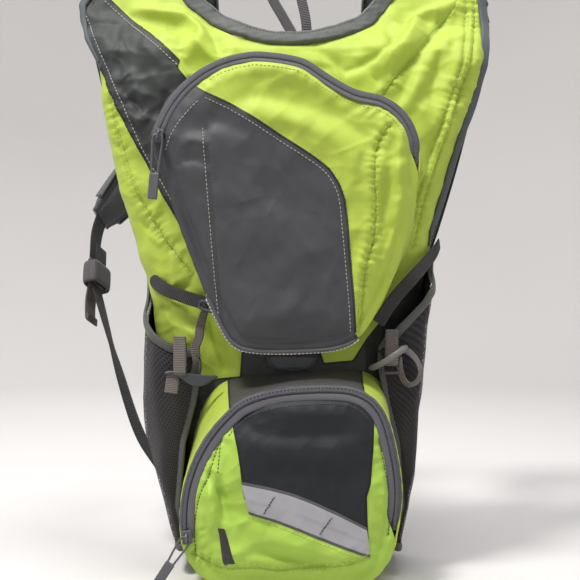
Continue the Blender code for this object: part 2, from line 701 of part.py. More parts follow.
def sternum_strap():
    """A chest strap that slides up and down two rails, with a side-release buckle."""
    for side, sign in SIDES:
        x = RAIL_X * sign
        rail = [(x, RAIL_Y - 3.5, STERNUM_Z - 37), (x, RAIL_Y, STERNUM_Z - 33), (x, RAIL_Y, STERNUM_Z + 33),
                (x, RAIL_Y - 3.5, STERNUM_Z + 37)]
        place(tube(f"sternum_rail_{side}", rail, RAIL_RADIUS, resolution=2), "zip_pull")
        clip = as_mesh(block(f"sternum_clip_{side}", (11, 9, 13), (x, RAIL_Y, STERNUM_Z), bevel=1.2))
        bore = tube("rail_bore", [(x, RAIL_Y, STERNUM_Z - 20), (x, RAIL_Y, STERNUM_Z + 20)], RAIL_RADIUS + 0.5, 2)
        place(combine(clip, bore, "DIFFERENCE"), "grey_plastic")
    adjusting = [(8 - RAIL_X, BUCKLE_Y, STERNUM_Z), (-66, BUCKLE_Y + 2, STERNUM_Z),
                 (-50, WEB_Y, STERNUM_Z), (-4, WEB_Y, STERNUM_Z)]
    place(webbing("sternum_webbing_left", adjusting, (0, 0, 1), 15), "webbing")
    fixed = [(27, BUCKLE_Y, STERNUM_Z), (64, BUCKLE_Y + 1.5, STERNUM_Z), (RAIL_X - 8, BUCKLE_Y, STERNUM_Z)]
    place(webbing("sternum_webbing_right", fixed, (0, 0, 1), 15), "webbing")
    buckle()


def buckle():
    """The side-release buckle: the socket on the right, and the plug with its two spring arms on the left.

    The left webbing runs through a tunnel in the plug, so the plug slides along it when it is released.
    """
    y, z = BUCKLE_Y, STERNUM_Z
    socket = block("buckle_socket", (26, 10, 26), (12.9, y, z), bevel=2)
    socket = combine(socket, block("mouth", (22, 5.6, 19.8), (8.2, y, z)), "DIFFERENCE")
    place(combine(socket, block("windows", (9, 5.0, 30), (9, y, z)), "DIFFERENCE"), "grey_plastic")
    release = pivot("buckle_pivot", (0, y, z))
    plug = block("buckle_plug", (24, 11, 22), (-12.6, y + 1, z), bevel=2)
    plug = combine(plug, block("tunnel", (30, 2.2, 16), (-12.6, WEB_Y, z)), "DIFFERENCE")
    tongue = block("tongue", (18, 4.4, 4), (7.2, y, z), bevel=0.6)
    place(combine(plug, tongue, "UNION"), "grey_plastic", release)
    for name, sign in (("upper", 1), ("lower", -1)):
        outline = [(0.2, 6.2), (6, 6.0), (13, 6.6), (13.4, 9.0), (8, 9.5), (6, 8.4), (0.2, 8.2)]
        loop = [(x, z + height * sign) for x, height in outline]
        arm = plate(f"buckle_arm_{name}", [loop], y + 2.2, y - 2.2)
        place(arm, "grey_plastic", pivot(f"arm_pivot_{name}", (0.2, y, z + 7.2 * sign)))


# ---------------------------------------------------------------- haul loop, badge and label


def trims():
    legs = [(3, 45, 489), (-6, 45, 505), (-17, 44, 524), (-26, 43, 546), (-24, 42.5, 560), (-14, 42.5, 566),
            (-3, 43, 560), (5, 44, 544), (11, 45, 522), (15, 45, 503), (16, 45, 489)]
    path = smooth(legs, 2)
    across = []
    for i in range(len(path)):
        along = path[min(i + 1, len(path) - 1)] - path[max(i - 1, 0)]
        across.append(along.cross(Vector((0, 1, 0))).cross(along))
    loop = ribbon("haul_loop", path, across, [10] * len(path), 1.6)
    place(loop, "webbing", pivot("haul_pivot", (9, 45, 487)))
    badge = [(-20, 190), (-13, 181), (16, 181), (23, 190), (20, 194), (-17, 194)]
    place(panel("badge", smooth([(x, z - 3) for x, z in badge], 2, closed=True), -25.2, -28.4), "grey_plastic")


# ---------------------------------------------------------------- reservoir


def reservoir():
    """The water bag, which lifts out of the neckline, with its fill port, cap, hanger and outlet."""
    lift = pivot("reservoir_pivot", (0, 21, BAG_Z[0]))
    wide, (low, high) = BAG_HALF_WIDTH, BAG_Z
    half = [(0, low), (40, low), (60, low + 7), (wide, low + 28), (wide, high - 40), (wide - 8, high - 12),
            (wide - 28, high), (0, high)]
    outline = half + [mirrored(p) for p in reversed(half[1:-1])]
    bag = as_mesh(panel("reservoir_bag", [Vector(p) for p in outline], BAG_Y[1], BAG_Y[0]))
    rounding = bag.modifiers.new("rounding", "BEVEL")
    rounding.width = 8 * MM
    rounding.segments = 3
    place(as_mesh(bag), "bag_film", lift)
    front = BAG_Y[0] - GAP
    place(disc("fill_port_ring", 42, front, front - 6, (0, CAP_Z)), "blue_plastic", lift)
    turn = pivot("cap_pivot", (0, front - 6, CAP_Z))
    cap = as_mesh(disc("reservoir_cap", 38, front - 6 - RUNNING_GAP, front - 9, (0, CAP_Z)))
    grip = block("grip", (60, 4.5, 9), (0, front - 10, CAP_Z), bevel=1.5)
    place(combine(cap, grip, "UNION"), "blue_plastic", turn)
    hanger = block("reservoir_hanger", (96, 8, 12), (0, 21, high + GAP + 6), bevel=2)
    place(hanger, "blue_plastic", lift)
    port = as_mesh(disc("outlet_port", 15, front, front - 8, (0, PORT_Z), 20))
    spout = tube("spout", [(0, front - 5, PORT_Z + 10), (0, front - 5, PORT_Z + 34)], 3.2, 2)
    port = combine(port, spout, "UNION")
    well = disc("well", 7.0, front - 2, front - 12, (0, PORT_Z), 20)
    place(combine(port, well, "DIFFERENCE"), "blue_plastic", lift)
    press = pivot("button_pivot", (0, front - 6, PORT_Z))
    place(disc("release_button", 6.4, front - 4.4, front - 10, (0, PORT_Z), 20), "grey_plastic", press)


main_compartment()
neck_binding()
top_pocket()
lower_pocket()
mesh_pockets()
hooks()
shoulder_straps()
sternum_strap()
trims()
reservoir()
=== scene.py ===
"""The hydration pack in cloth: sewn panels, zips, webbing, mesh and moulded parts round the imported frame.

Lengths are millimetres in the pack's own frame (x to the wearer's right, y to the back panel, z up) until
world() turns them into metres. Flat outlines and seam lines are lists of (x, z) points.
"""

import math

import bpy
import numpy as np
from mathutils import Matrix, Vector
from mathutils.bvhtree import BVHTree

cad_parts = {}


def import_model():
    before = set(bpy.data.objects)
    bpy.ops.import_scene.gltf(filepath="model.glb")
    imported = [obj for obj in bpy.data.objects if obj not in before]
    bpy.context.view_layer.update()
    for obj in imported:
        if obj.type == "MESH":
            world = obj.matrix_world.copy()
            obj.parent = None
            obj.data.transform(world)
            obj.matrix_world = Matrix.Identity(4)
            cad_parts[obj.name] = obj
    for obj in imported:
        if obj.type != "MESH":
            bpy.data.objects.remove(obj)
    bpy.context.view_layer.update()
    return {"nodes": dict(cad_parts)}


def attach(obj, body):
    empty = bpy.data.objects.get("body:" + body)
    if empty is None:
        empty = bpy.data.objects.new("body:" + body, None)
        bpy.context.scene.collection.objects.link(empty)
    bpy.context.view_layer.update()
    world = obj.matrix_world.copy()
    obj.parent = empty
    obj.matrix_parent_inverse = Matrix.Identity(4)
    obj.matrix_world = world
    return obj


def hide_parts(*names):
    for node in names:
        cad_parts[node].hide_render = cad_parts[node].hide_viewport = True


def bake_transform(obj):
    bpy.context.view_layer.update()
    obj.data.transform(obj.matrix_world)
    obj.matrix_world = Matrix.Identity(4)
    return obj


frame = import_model()

MM = 0.001
TURN = 6.283  # one turn in radians, rounded
FRAME = np.array((12.15, -60.05, 0.0))
SIDES = (("left", -1), ("right", 1))
SIGN = dict(SIDES)

# ------------------------------------------------------------------ numbers shared with the frame

BACK_Y = 39.0
DEPTH = [(0, 52), (20, 60), (60, 63), (380, 63), (430, 60), (462, 54), (478, 42), (490, 26), (505, 19),
         (520, 14.5), (527, 12)]
HALF_WIDTH = {
    "left": [(0, 84), (12, 93), (28, 98), (60, 105), (105, 109), (150, 112), (200, 121), (240, 127),
             (270, 135), (295, 142), (320, 150), (356, 160), (382, 166), (413, 170), (438, 173), (452, 176),
             (466, 183), (480, 190), (497, 195), (512, 197), (520, 193), (527, 185)],
    "right": [(0, 84), (12, 93), (28, 98), (60, 105), (105, 109), (150, 112), (200, 115), (250, 121),
              (302, 131), (328, 140), (361, 150), (389, 159), (413, 168), (452, 179), (490, 184),
              (515, 183), (527, 182)],
}
SHELL_LOW = 3.3
SHELL_TOP = [(0, 467), (32, 470), (52, 476), (66, 485), (78, 497), (86, 511), (91, 527), (220, 527)]
ROUNDNESS = 0.42

OUTLINE_STEP = 2.4
TOP_RIM_Y = -62.0
TOP_ARC = ((-25, 354), 94, 168, 90)
TOP_REST = [(0, 445), (16, 440), (34, 428), (56, 416), (80, 410), (98, 396), (108, 376), (109.5, 352),
            (104, 316), (94, 277), (77, 237), (62, 212), (42, 199), (6, 195.5), (-30, 196), (-48, 202),
            (-60, 221), (-76, 256), (-89, 290), (-101, 325)]
TOP_ZIP_END = (109.5, 352)
LOWER_RIM_Y = -80.0
LOWER_ARC = ((30, 60), 121, 190, 126)
LOWER_REST = [(-18, 166), (10, 169.5), (45, 169.5), (66, 162), (80, 145), (89, 112), (92.5, 80), (89, 50),
              (82, 26), (66, 8), (40, 2), (0, 0.4), (-40, 2), (-68, 9), (-83, 24)]
LOWER_ZIP_END = (89, 50)
TOP_ZIP_WIDTH = 9.6
LOWER_ZIP_WIDTH = 12.5

YOKE_PATH = [(141, 27, 491), (137, 32, 520), (127, 54, 551), (117, 90, 571), (110, 130, 567),
             (108, 164, 541), (109, 184, 502), (111, 191, 462)]
STRAP_PATH = {
    "left": YOKE_PATH + [(120, 192, 426), (146, 186, 391), (176, 169, 355), (200, 148, 322)],
    "right": YOKE_PATH + [(114, 192, 426), (120, 186, 391), (126, 169, 355), (131, 148, 322)],
}
STRAP_WIDTH = [91, 84, 74, 66, 62, 60, 58, 56, 54, 50, 44, 34]
STRAP_OUTWARD = [(0, -1, 0.15), (0, -1, 0.5), (0, -0.7, 1), (0, -0.2, 1), (0, 0.35, 1), (0, 0.8, 0.6),
                 (0, 1, 0.2), (0, 1, 0), (0.1, 1, 0), (0.35, 1, 0.1), (0.7, 0.9, 0.15), (1, 0.8, 0.2)]
LADDER = {"left": (197, 117, 266), "right": (131, 117, 266)}
STRAP_RUN = {
    "left": [(176, 84, 192), (148, 58, 118), (126, 47, 84), (111.5, 45.5, 70)],
    "right": [(125, 84, 192), (119, 60, 118), (115, 49, 84), (111.5, 45.5, 70)],
}
RAIL_X, RAIL_Y, STERNUM_Z = 110.0, 205.5, 466.0

# ------------------------------------------------------------------ curves and distances


def world(points):
    """Millimetres in the pack's frame to metres in the scene."""
    return (np.asarray(points, float).reshape(-1, 3) + FRAME) * MM


def table(pairs, at):
    """A value read between the pairs of a short table."""
    pairs = np.asarray(pairs, float)
    return np.interp(at, pairs[:, 0], pairs[:, 1])


def catmull_rom(a, b, c, d, t):
    """The curve between b and c, with a and d as its neighbours."""
    return 0.5 * (2 * b + (c - a) * t + (2 * a - 5 * b + 4 * c - d) * t**2 + (3 * b - 3 * c + d - a) * t**3)


def smooth(points, steps=6, closed=False):
    """A Catmull-Rom curve through the points."""
    p = np.asarray(points, float)
    count = len(p)
    t = (np.arange(steps) / steps)[:, None]
    found = []
    for i in range(count if closed else count - 1):
        picks = [i - 1, i, i + 1, i + 2]
        if closed:
            a, b, c, d = (p[k % count] for k in picks)
        else:
            a, b, c, d = (p[min(max(k, 0), count - 1)] for k in picks)
        found.append(catmull_rom(a, b, c, d, t))
    found = np.concatenate(found)
    return found if closed else np.vstack([found, p[-1:]])


def unit(vectors):
    """Each row brought to unit length."""
    return vectors / np.linalg.norm(vectors, axis=1)[:, None]


def level_away(points, middle):
    """Level unit vectors that point away from an upright line through the middle."""
    away = points - np.array(middle)
    away[:, 2] = 0
    return unit(away)


def lengths(path):
    """The run along a path at each of its points."""
    return np.concatenate([[0], np.cumsum(np.linalg.norm(np.diff(path, axis=0), axis=1))])


def resample(path, step, closed=False):
    """The same curve with evenly spaced points."""
    path = np.asarray(path, float)
    if closed:
        path = np.vstack([path, path[:1]])
    run = lengths(path)
    count = max(2, round(run[-1] / step) + 1)
    at = np.linspace(0, run[-1], count)
    found = np.stack([np.interp(at, run, path[:, k]) for k in range(path.shape[1])], 1)
    return found[:-1] if closed else found


def pocket_outline(arc, rest, step=OUTLINE_STEP):
    """A pocket's rim, clockwise from the lower end of its zip."""
    (cx, cz), radius, start, end = arc
    count = round((start - end) / 8)
    angles = np.radians([start - (start - end) * i / count for i in range(count + 1)])
    points = [(cx + radius * math.cos(a), cz + radius * math.sin(a)) for a in angles] + list(rest)
    return resample(smooth(points, 8, closed=True), step, closed=True)


def inward(loop):
    """Unit vectors into a clockwise loop, smoothed a little."""
    along = unit(np.roll(loop, -2, 0) - np.roll(loop, 2, 0))
    return np.stack([along[:, 1], -along[:, 0]], 1)


def clockwise(loop):
    """A flat outline turned, if it has to be, to run clockwise."""
    area = 0.5 * np.sum(loop[:, 0] * np.roll(loop[:, 1], -1) - loop[:, 1] * np.roll(loop[:, 0], -1))
    return loop[::-1] if area > 0 else loop


def line_distance(points, line):
    """Distance to a polyline, the run along it and the side (+1 left of its direction) for each point."""
    points, line = np.asarray(points, float), np.asarray(line, float)
    best = np.full(len(points), 1e9)
    run_at, side = np.zeros(len(points)), np.ones(len(points))
    run = lengths(line)
    for i in range(len(line) - 1):
        a, d = line[i], line[i + 1] - line[i]
        size = d @ d
        if size < 1e-9:
            continue
        t = np.clip(((points - a) @ d) / size, 0, 1)
        away = points - a - t[:, None] * d
        dist = np.hypot(away[:, 0], away[:, 1])
        near = dist < best
        best = np.where(near, dist, best)
        run_at = np.where(near, run[i] + t * math.sqrt(size), run_at)
        side = np.where(near, np.sign(d[0] * away[:, 1] - d[1] * away[:, 0]), side)
    return best, run_at, side


def inside_by(points, loop):
    """Signed distance to a closed outline, positive inside."""
    points, loop = np.asarray(points, float), np.asarray(loop, float)
    dist, _run, _side = line_distance(points, np.vstack([loop, loop[:1]]))
    x, z = points[:, 0], points[:, 1]
    inside = np.zeros(len(points), bool)
    for (ax, az), (bx, bz) in zip(loop, np.roll(loop, -1, 0)):
        if az == bz:
            continue
        crosses = (az > z) != (bz > z)
        inside ^= crosses & (x < ax + (z - az) * (bx - ax) / (bz - az))
    return np.where(inside, dist, -dist)


def ripple(x, z, pitch, seed, count=8):
    """A soft, uneven field of about -1 to 1, made of a few waves in mixed directions."""
    rng = np.random.default_rng(seed)
    total = np.zeros_like(x)
    for _ in range(count):
        turn, phase, size = rng.uniform(0, math.pi), rng.uniform(0, 6.28), pitch * rng.uniform(0.6, 1.7)
        total += np.sin(TURN * (x * math.cos(turn) + z * math.sin(turn)) / size + phase)
    return total / math.sqrt(count)


def crinkle(x, z, pitch, seed):
    """Narrow soft creases between rounded fields, as thin nylon takes when it has been packed."""
    return (1 - np.clip(np.abs(ripple(x, z, pitch, seed)) * 1.4, 0, 1)) ** 2


def relief(points, folds=(), seams=(), seed=1):
    """How far cloth stands out: folds are (line, width, height), seams are (line, pucker height)."""
    out = np.zeros(len(points))
    for line, width, height in folds:
        line = smooth(line, 6)
        dist, run, side = line_distance(points, line)
        total = lengths(line)[-1]
        taper = np.clip(np.sin(np.pi * np.clip(run / total, 0, 1)), 0, 1) ** 0.6
        lean = np.where(side > 0, 0.75, 1.35)
        out += height * np.exp(-(dist * lean / width) ** 2) * taper
    for line, pucker in seams:
        line = smooth(line, 6)
        dist, run, side = line_distance(points, line)
        wobble = run + 1.6 * np.sin(run / 7.3 + seed) + 1.1 * np.sin(run / 3.1 + 2 * seed)
        size = 0.65 + 0.35 * np.sin(run / 17.0 + seed)
        out += pucker * size * np.sin(TURN * wobble / 6.2 + 0.5 * side) * np.exp(-np.abs(dist - 1.5) / 4.5)
        out -= (0.5 + 1.1 * pucker) * np.exp(-(dist / 1.2) ** 2)
        out += 0.9 * pucker * np.exp(-((dist - 5) / 4) ** 2)
    return out


# ------------------------------------------------------------------ meshes


def grid_faces(rows, cols, close_cols=False):
    """Four-sided faces of a grid of points, row after row."""
    i, j = np.meshgrid(np.arange(rows - 1), np.arange(cols if close_cols else cols - 1), indexing="ij")
    k = (j + 1) % cols
    quads = np.stack([i * cols + j, i * cols + k, (i + 1) * cols + k, (i + 1) * cols + j], -1).reshape(-1, 4)
    return quads.tolist()


def last_cap(rows, cols):
    """One face over the last ring of a grid that is closed round its columns."""
    return tuple((rows - 1) * cols + j for j in range(cols))


def end_caps(rows, cols):
    """The faces over both end rings of such a grid."""
    return [tuple(range(cols))[::-1], last_cap(rows, cols)]


def grid_normals(grid, close_cols=False):
    """Unit normals of a (rows, cols, 3) grid, by central differences."""
    if close_cols:
        du = np.roll(grid, -1, 1) - np.roll(grid, 1, 1)
    else:
        du = np.gradient(grid, axis=1)
    n = np.cross(du, np.gradient(grid, axis=0))
    return n / np.maximum(np.linalg.norm(n, axis=2, keepdims=True), 1e-9)


def evened(normals, reach=4):
    """Normals of a grid averaged with their neighbours, and unit length again."""
    for axis in (0, 1, 0, 1):
        count = normals.shape[axis]
        padded = np.pad(normals, [(reach, reach) if k == axis else (0, 0) for k in range(3)], mode="edge")
        normals = sum(np.take(padded, np.arange(k, k + count), axis) for k in range(2 * reach + 1))
    return normals / np.maximum(np.linalg.norm(normals, axis=2, keepdims=True), 1e-9)


def make(name, shape, material, body="pack", **layers):
    """One piece from (verts, faces, cloth coordinates), riding on a body unless body is None."""
    verts, faces, cloth = shape
    mesh = bpy.data.meshes.new(name)
    mesh.from_pydata(world(verts).tolist(), [], faces)
    mesh.update()
    layer = mesh.attributes.new("cloth", "FLOAT_VECTOR", "POINT")
    layer.data.foreach_set("vector", np.asarray(cloth, np.float32).ravel())
    for key, values in layers.items():
        layer = mesh.attributes.new(key, "FLOAT", "POINT")
        layer.data.foreach_set("value", np.asarray(values, np.float32).ravel())
    mesh.polygons.foreach_set("use_smooth", [True] * len(mesh.polygons))
    mesh.materials.append(material)
    made = bpy.data.objects.new(name, mesh)
    bpy.context.scene.collection.objects.link(made)
    if body:
        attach(made, body)
    return made


def merged(shapes):
    """Several shapes as one."""
    verts, faces, cloth, start = [], [], [], 0
    for v, f, c in shapes:
        verts.append(np.asarray(v, float).reshape(-1, 3))
        cloth.append(np.asarray(c, float).reshape(-1, 3))
        faces += [tuple(k + start for k in face) for face in f]
        start += len(verts[-1])
    return np.vstack(verts), faces, np.vstack(cloth)


def sweep(path, normals, profile, scale=None, closed=False, ribs=None):
    """A profile of (across, out) points carried along a path. normals face outwards from the cloth.

    ribs is (pitch, height): crosswise ribs of woven webbing, raised on both faces.
    """
    path, profile = np.asarray(path, float), np.asarray(profile, float)
    normals = np.broadcast_to(np.asarray(normals, float), path.shape)
    if closed:
        tangent = np.roll(path, -1, 0) - np.roll(path, 1, 0)
    else:
        tangent = np.gradient(path, axis=0)
    tangent = unit(tangent)
    across = unit(np.cross(tangent, normals))
    out = np.cross(across, tangent)
    scale = np.ones(len(path)) if scale is None else np.asarray(scale, float)
    run = lengths(path)
    lift = np.ones((len(path), len(profile)))
    if ribs:
        lift = 1 + ribs[1] * np.sin(TURN * run / ribs[0])[:, None] * np.ones(len(profile))
    points = (path[:, None] + across[:, None] * (profile[None, :, :1] * scale[:, None, None])
              + out[:, None] * (profile[None, :, 1:] * lift[:, :, None]))
    rows, cols = len(path), len(profile)
    faces = grid_faces(rows, cols, close_cols=True)
    if closed:
        last = (rows - 1) * cols
        faces += [(last + j, last + (j + 1) % cols, (j + 1) % cols, j) for j in range(cols)]
    else:
        faces += end_caps(rows, cols)
    girth = np.broadcast_to(profile[:, 0], (rows, cols))
    cloth = np.stack([np.broadcast_to(run[:, None], (rows, cols)), girth, np.zeros((rows, cols))], -1)
    return points.reshape(-1, 3), faces, cloth.reshape(-1, 3)


def band(width, thickness, crown=0.0, count=9):
    """The profile of a flat tape lying on a surface: rounded edges, a slightly domed face."""
    a = np.linspace(-0.5, 0.5, count)
    edge = np.sqrt(np.clip(1 - (2 * np.abs(a)) ** 8, 0.04, 1))
    top = np.stack([a * width, thickness * edge + crown * (1 - 4 * a**2)], 1)
    bottom = np.stack([a[::-1] * width, np.full(count, 0.0)], 1)
    return np.vstack([top, bottom[1:-1]])


def round_profile(radius, count=10, flat=1.0):
    """The profile of a round cord or bar, or of a flattened one."""
    a = np.linspace(0, 2 * math.pi, count, endpoint=False)
    return np.stack([radius * np.cos(a), radius * flat * np.sin(a)], 1)


def stitch_row(path, normals, length=2.5, gap=1.0, radius=0.36, lift=0.3, seed=0):
    """Separate sewn stitches along a path: short threads that dip into the cloth at both ends."""
    path, normals = np.asarray(path, float), np.asarray(normals, float)
    run = lengths(path)
    rng = np.random.default_rng(seed)
    shapes = []
    at = 0.4
    angles = np.linspace(0, 2 * math.pi, 5, endpoint=False)
    while at + length < run[-1]:
        size = length * rng.uniform(0.88, 1.1)
        stops = at + size * np.array([0, 0.22, 0.5, 0.78, 1.0])
        p = np.stack([np.interp(stops, run, path[:, k]) for k in range(3)], 1)
        n = unit(np.stack([np.interp(stops, run, normals[:, k]) for k in range(3)], 1))
        t = unit(np.gradient(p, axis=0))
        s = np.cross(t, n)
        r = radius * np.array([0.45, 0.95, 1.05, 0.95, 0.45])[:, None, None]
        p = p + n * (lift * np.array([-0.9, 0.75, 1.0, 0.75, -0.9]))[:, None]
        turned = s[:, None] * np.cos(angles)[None, :, None] + n[:, None] * np.sin(angles)[None, :, None]
        ring = p[:, None] + r * turned
        faces = grid_faces(5, 5, close_cols=True) + [(4, 3, 2, 1, 0), (20, 21, 22, 23, 24)]
        cloth = np.stack([np.repeat(stops, 5), np.tile(angles, 5), np.full(25, len(shapes))], 1)
        shapes.append((ring.reshape(-1, 3), faces, cloth))
        at += size + gap
    return merged(shapes)


class Surface:
    """A finished cloth surface that stitches and tapes are laid on from the front or from any side."""

    def __init__(self, verts, faces):
        self.tree = BVHTree.FromPolygons([tuple(v) for v in verts], faces)

    def front(self, x, z):
        """The y of the surface seen from the front at a flat point."""
        return self.tree.ray_cast(Vector((x, -400, z)), Vector((0, 1, 0)))[0].y

    def drape(self, line, step=0.8, lift=0.0, offset=0.0, direction=(0, 1, 0), steps=6):
        """Points and normals on the surface under a flat (x, z) line, optionally moved to one side of it."""
        flat = resample(smooth(line, steps), step)
        if offset:
            along = unit(np.gradient(flat, axis=0))
            flat = flat + np.stack([-along[:, 1], along[:, 0]], 1) * offset
        aim = Vector(direction)
        points, normals = [], []
        for x, z in flat:
            start = Vector((x, 0, z)) - aim * 400
            hit, normal, _index, _far = self.tree.ray_cast(start, aim)
            if hit is None:
                continue
            if normal.dot(aim) > 0:
                normal = -normal
            points.append(hit + normal * lift)
            normals.append(normal)
        points, normals = np.array(points), np.array(normals)
        if len(normals) > 6:
            kernel = np.ones(5) / 5
            padded = np.pad(normals, ((2, 2), (0, 0)), mode="edge")
            normals = np.stack([np.convolve(padded[:, k], kernel, "valid") for k in range(3)], 1)
        return points, unit(normals)


# ------------------------------------------------------------------ materials


class Paint:
    """A Principled material with short calls for the nodes that feed it."""

    def __init__(self, name, roughness=0.7, **sockets):
        self.material = bpy.data.materials.new(name)
        self.material.use_nodes = True
        self.tree = self.material.node_tree
        self.shader = self.tree.nodes["Principled BSDF"]
        self.shader.inputs["Roughness"].default_value = roughness
        for key, value in sockets.items():
            self.shader.inputs[key.replace("_", " ")].default_value = value

    def node(self, kind, *inputs, **props):
        """A new node, its inputs linked or set in their order."""
        made = self.tree.nodes.new("ShaderNode" + kind)
        for key, value in props.items():
            setattr(made, key, value)
        for slot, value in enumerate(inputs):
            if isinstance(value, bpy.types.NodeSocket):
                self.tree.links.new(value, made.inputs[slot])
            elif value is not None:
                made.inputs[slot].default_value = value
        return made

    def math(self, operation, *inputs):
        """The result of one Math node."""
        return self.node("Math", *inputs, operation=operation).outputs[0]

    def layer(self, name):
        """One of the number layers that make() stores on a mesh."""
        return self.node("Attribute", attribute_name=name).outputs["Fac"]

    def cloth(self):
        """Cloth coordinates in millimetres: as three sockets, and as one vector."""
        coords = self.node("Attribute", attribute_name="cloth").outputs["Vector"]
        return self.node("SeparateXYZ", coords).outputs, coords

    def place(self):
        """Rest position in millimetres, for the moulded parts that carry no cloth coordinates."""
        coords = self.node("TexCoord").outputs["Object"]
        return self.node("VectorMath", coords, (1000, 1000, 1000), operation="MULTIPLY").outputs[0]

    def noise(self, coords, pitch, detail=2.0, roughness=0.5):
        """A noise field whose features are about one pitch apart."""
        made = self.node("TexNoise", coords)
        made.inputs["Scale"].default_value = 1 / pitch
        made.inputs["Detail"].default_value = detail
        made.inputs["Roughness"].default_value = roughness
        return made.outputs["Fac"]

    def mix(self, factor, a, b):
        """The colour between a, at 0, and b, at 1."""
        made = self.node("Mix", data_type="RGBA")
        for slot, value in ((0, factor), (6, a), (7, b)):
            if isinstance(value, bpy.types.NodeSocket):
                self.tree.links.new(value, made.inputs[slot])
            else:
                made.inputs[slot].default_value = (*value, 1) if slot else value
        return made.outputs[2]

    def wave(self, coordinate, pitch):
        """A sine along one coordinate, one wave to each pitch."""
        return self.math("SINE", self.math("MULTIPLY", coordinate, 6.2832 / pitch))

    def ramp(self, value, low, high):
        """0 below low, 1 above high."""
        made = self.node("MapRange", value, low, high, 0.0, 1.0, interpolation_type="SMOOTHSTEP")
        return made.outputs[0]

    def mottle(self, coords, colour, pitch=22.0, amount=0.12):
        """The colour with slow, slight changes of depth, as dyed cloth has."""
        light = tuple(min(1, c * (1 + amount)) for c in colour)
        deep = tuple(c * (1 - amount) for c in colour)
        return self.mix(self.noise(coords, pitch, 3.0), deep, light)

    def finish(self, colour, height=None, distance=0.1, strength=0.5):
        """Joins the colour and the height, whose bumps are up to distance millimetres, to the shader."""
        if isinstance(colour, bpy.types.NodeSocket):
            self.tree.links.new(colour, self.shader.inputs["Base Color"])
        else:
            self.shader.inputs["Base Color"].default_value = (*colour, 1)
        if height is not None:
            bump = self.node("Bump")
            bump.inputs["Strength"].default_value = strength
            bump.inputs["Distance"].default_value = distance * MM
            self.tree.links.new(height, bump.inputs["Height"])
            self.tree.links.new(bump.outputs[0], self.shader.inputs["Normal"])
        return self.material


LIME = (0.385, 0.492, 0.060)
GREY = (0.031, 0.035, 0.034)
DARK_PANEL = (0.0095, 0.0120, 0.0145)
BLACK = (0.012, 0.012, 0.013)
BINDING = (0.066, 0.071, 0.066)
WING_FACING = (0.062, 0.074, 0.080)
TAPE = (0.090, 0.090, 0.105)
TAUPE = (0.175, 0.150, 0.145)
DARK_WEBBING = (0.058, 0.055, 0.058)
MESH = (0.048, 0.043, 0.048)
SLATE = (0.034, 0.040, 0.046)
REFLECTIVE = (0.34, 0.335, 0.36)
THREAD = (0.50, 0.48, 0.44)
LIME_THREAD = (0.60, 0.78, 0.12)
DARK_THREAD = (0.03, 0.035, 0.03)


def woven_height(paint, axes, pitch):
    """Plain weave: threads over and under each other."""
    warp, weft = paint.wave(axes[0], pitch), paint.wave(axes[1], pitch)
    return paint.math("MULTIPLY", warp, weft)


def pieced(name, grey, lime=LIME):
    """Nylon in two colours. Layers grey, dark and facing are distances into the panels of those colours. A
    thin strip inside each grey edge is painted seam shade, and the black of the dark layer is partly dark
    cloth and partly painted shade of the gaps beside the pockets.
    """
    paint = Paint(name, 0.55, Sheen_Weight=0.06, Sheen_Roughness=0.5, Specular_IOR_Level=0.28)
    axes, coords = paint.cloth()
    bright = paint.mottle(coords, lime, 30, 0.11)
    dull = paint.mottle(coords, grey, 18, 0.14)
    pattern = paint.math("MULTIPLY", paint.wave(axes[0], 2.1), paint.wave(axes[1], 1.7))
    dull = paint.mix(paint.ramp(pattern, 0.1, 0.7), dull, tuple(c * 1.22 for c in grey))
    into = paint.layer("grey")
    # A thin strip just inside each grey panel's edge is painted darker: painted shade in the seam crease.
    edge = paint.math("SUBTRACT", 1.0, paint.ramp(into, 1.6, 2.4))
    dull = paint.mix(edge, dull, tuple(c * 0.42 for c in grey))
    colour = paint.mix(paint.ramp(into, -0.25, 0.25), bright, dull)
    colour = paint.mix(paint.ramp(paint.layer("facing"), -0.25, 0.25), colour, WING_FACING)
    # Black for the dark layer: partly dark cloth, partly painted shade of the gaps beside the pockets.
    colour = paint.mix(paint.ramp(paint.layer("dark"), -0.5, 0.5), colour, BLACK)
    weave, slub = woven_height(paint, axes, 0.9), paint.math("MULTIPLY", paint.noise(coords, 3.0), 1.5)
    return paint.finish(colour, paint.math("ADD", weave, slub), 0.09, 0.4)


def plain_cloth(name, colour, roughness=0.75, pitch=1.0, mottle=0.12, sheen=0.12):
    """Plain dyed cloth with a fine twill."""
    paint = Paint(name, roughness, Sheen_Weight=sheen, Sheen_Roughness=0.5)
    axes, coords = paint.cloth()
    tone = paint.mottle(coords, colour, 14, mottle)
    twill = paint.wave(paint.math("ADD", axes[0], axes[1]), pitch)
    height = paint.math("ADD", twill, paint.math("MULTIPLY", paint.noise(coords, 2.2), 1.2))
    return paint.finish(tone, height, 0.12, 0.5)


def ribbed(name, colour, pitch=1.3, roughness=0.7, contrast=0.45, distance=0.35):
    """Tape or webbing with crosswise ribs along its run, and a fine lengthwise grain."""
    paint = Paint(name, roughness, Sheen_Weight=0.12, Sheen_Roughness=0.4, Specular_IOR_Level=0.35)
    axes, coords = paint.cloth()
    rib = paint.wave(axes[0], pitch)
    grain = paint.wave(axes[1], 0.9)
    tone = paint.mottle(coords, colour, 9, 0.16)
    # The troughs between the ribs are painted darker by contrast: painted shade in the grooves.
    deep = tuple(c * (1 - contrast) for c in colour)
    tone = paint.mix(paint.ramp(rib, -0.9, 0.3), deep, tone)
    height = paint.math("MULTIPLY_ADD", grain, 0.25, rib)
    return paint.finish(tone, height, distance, 0.7)


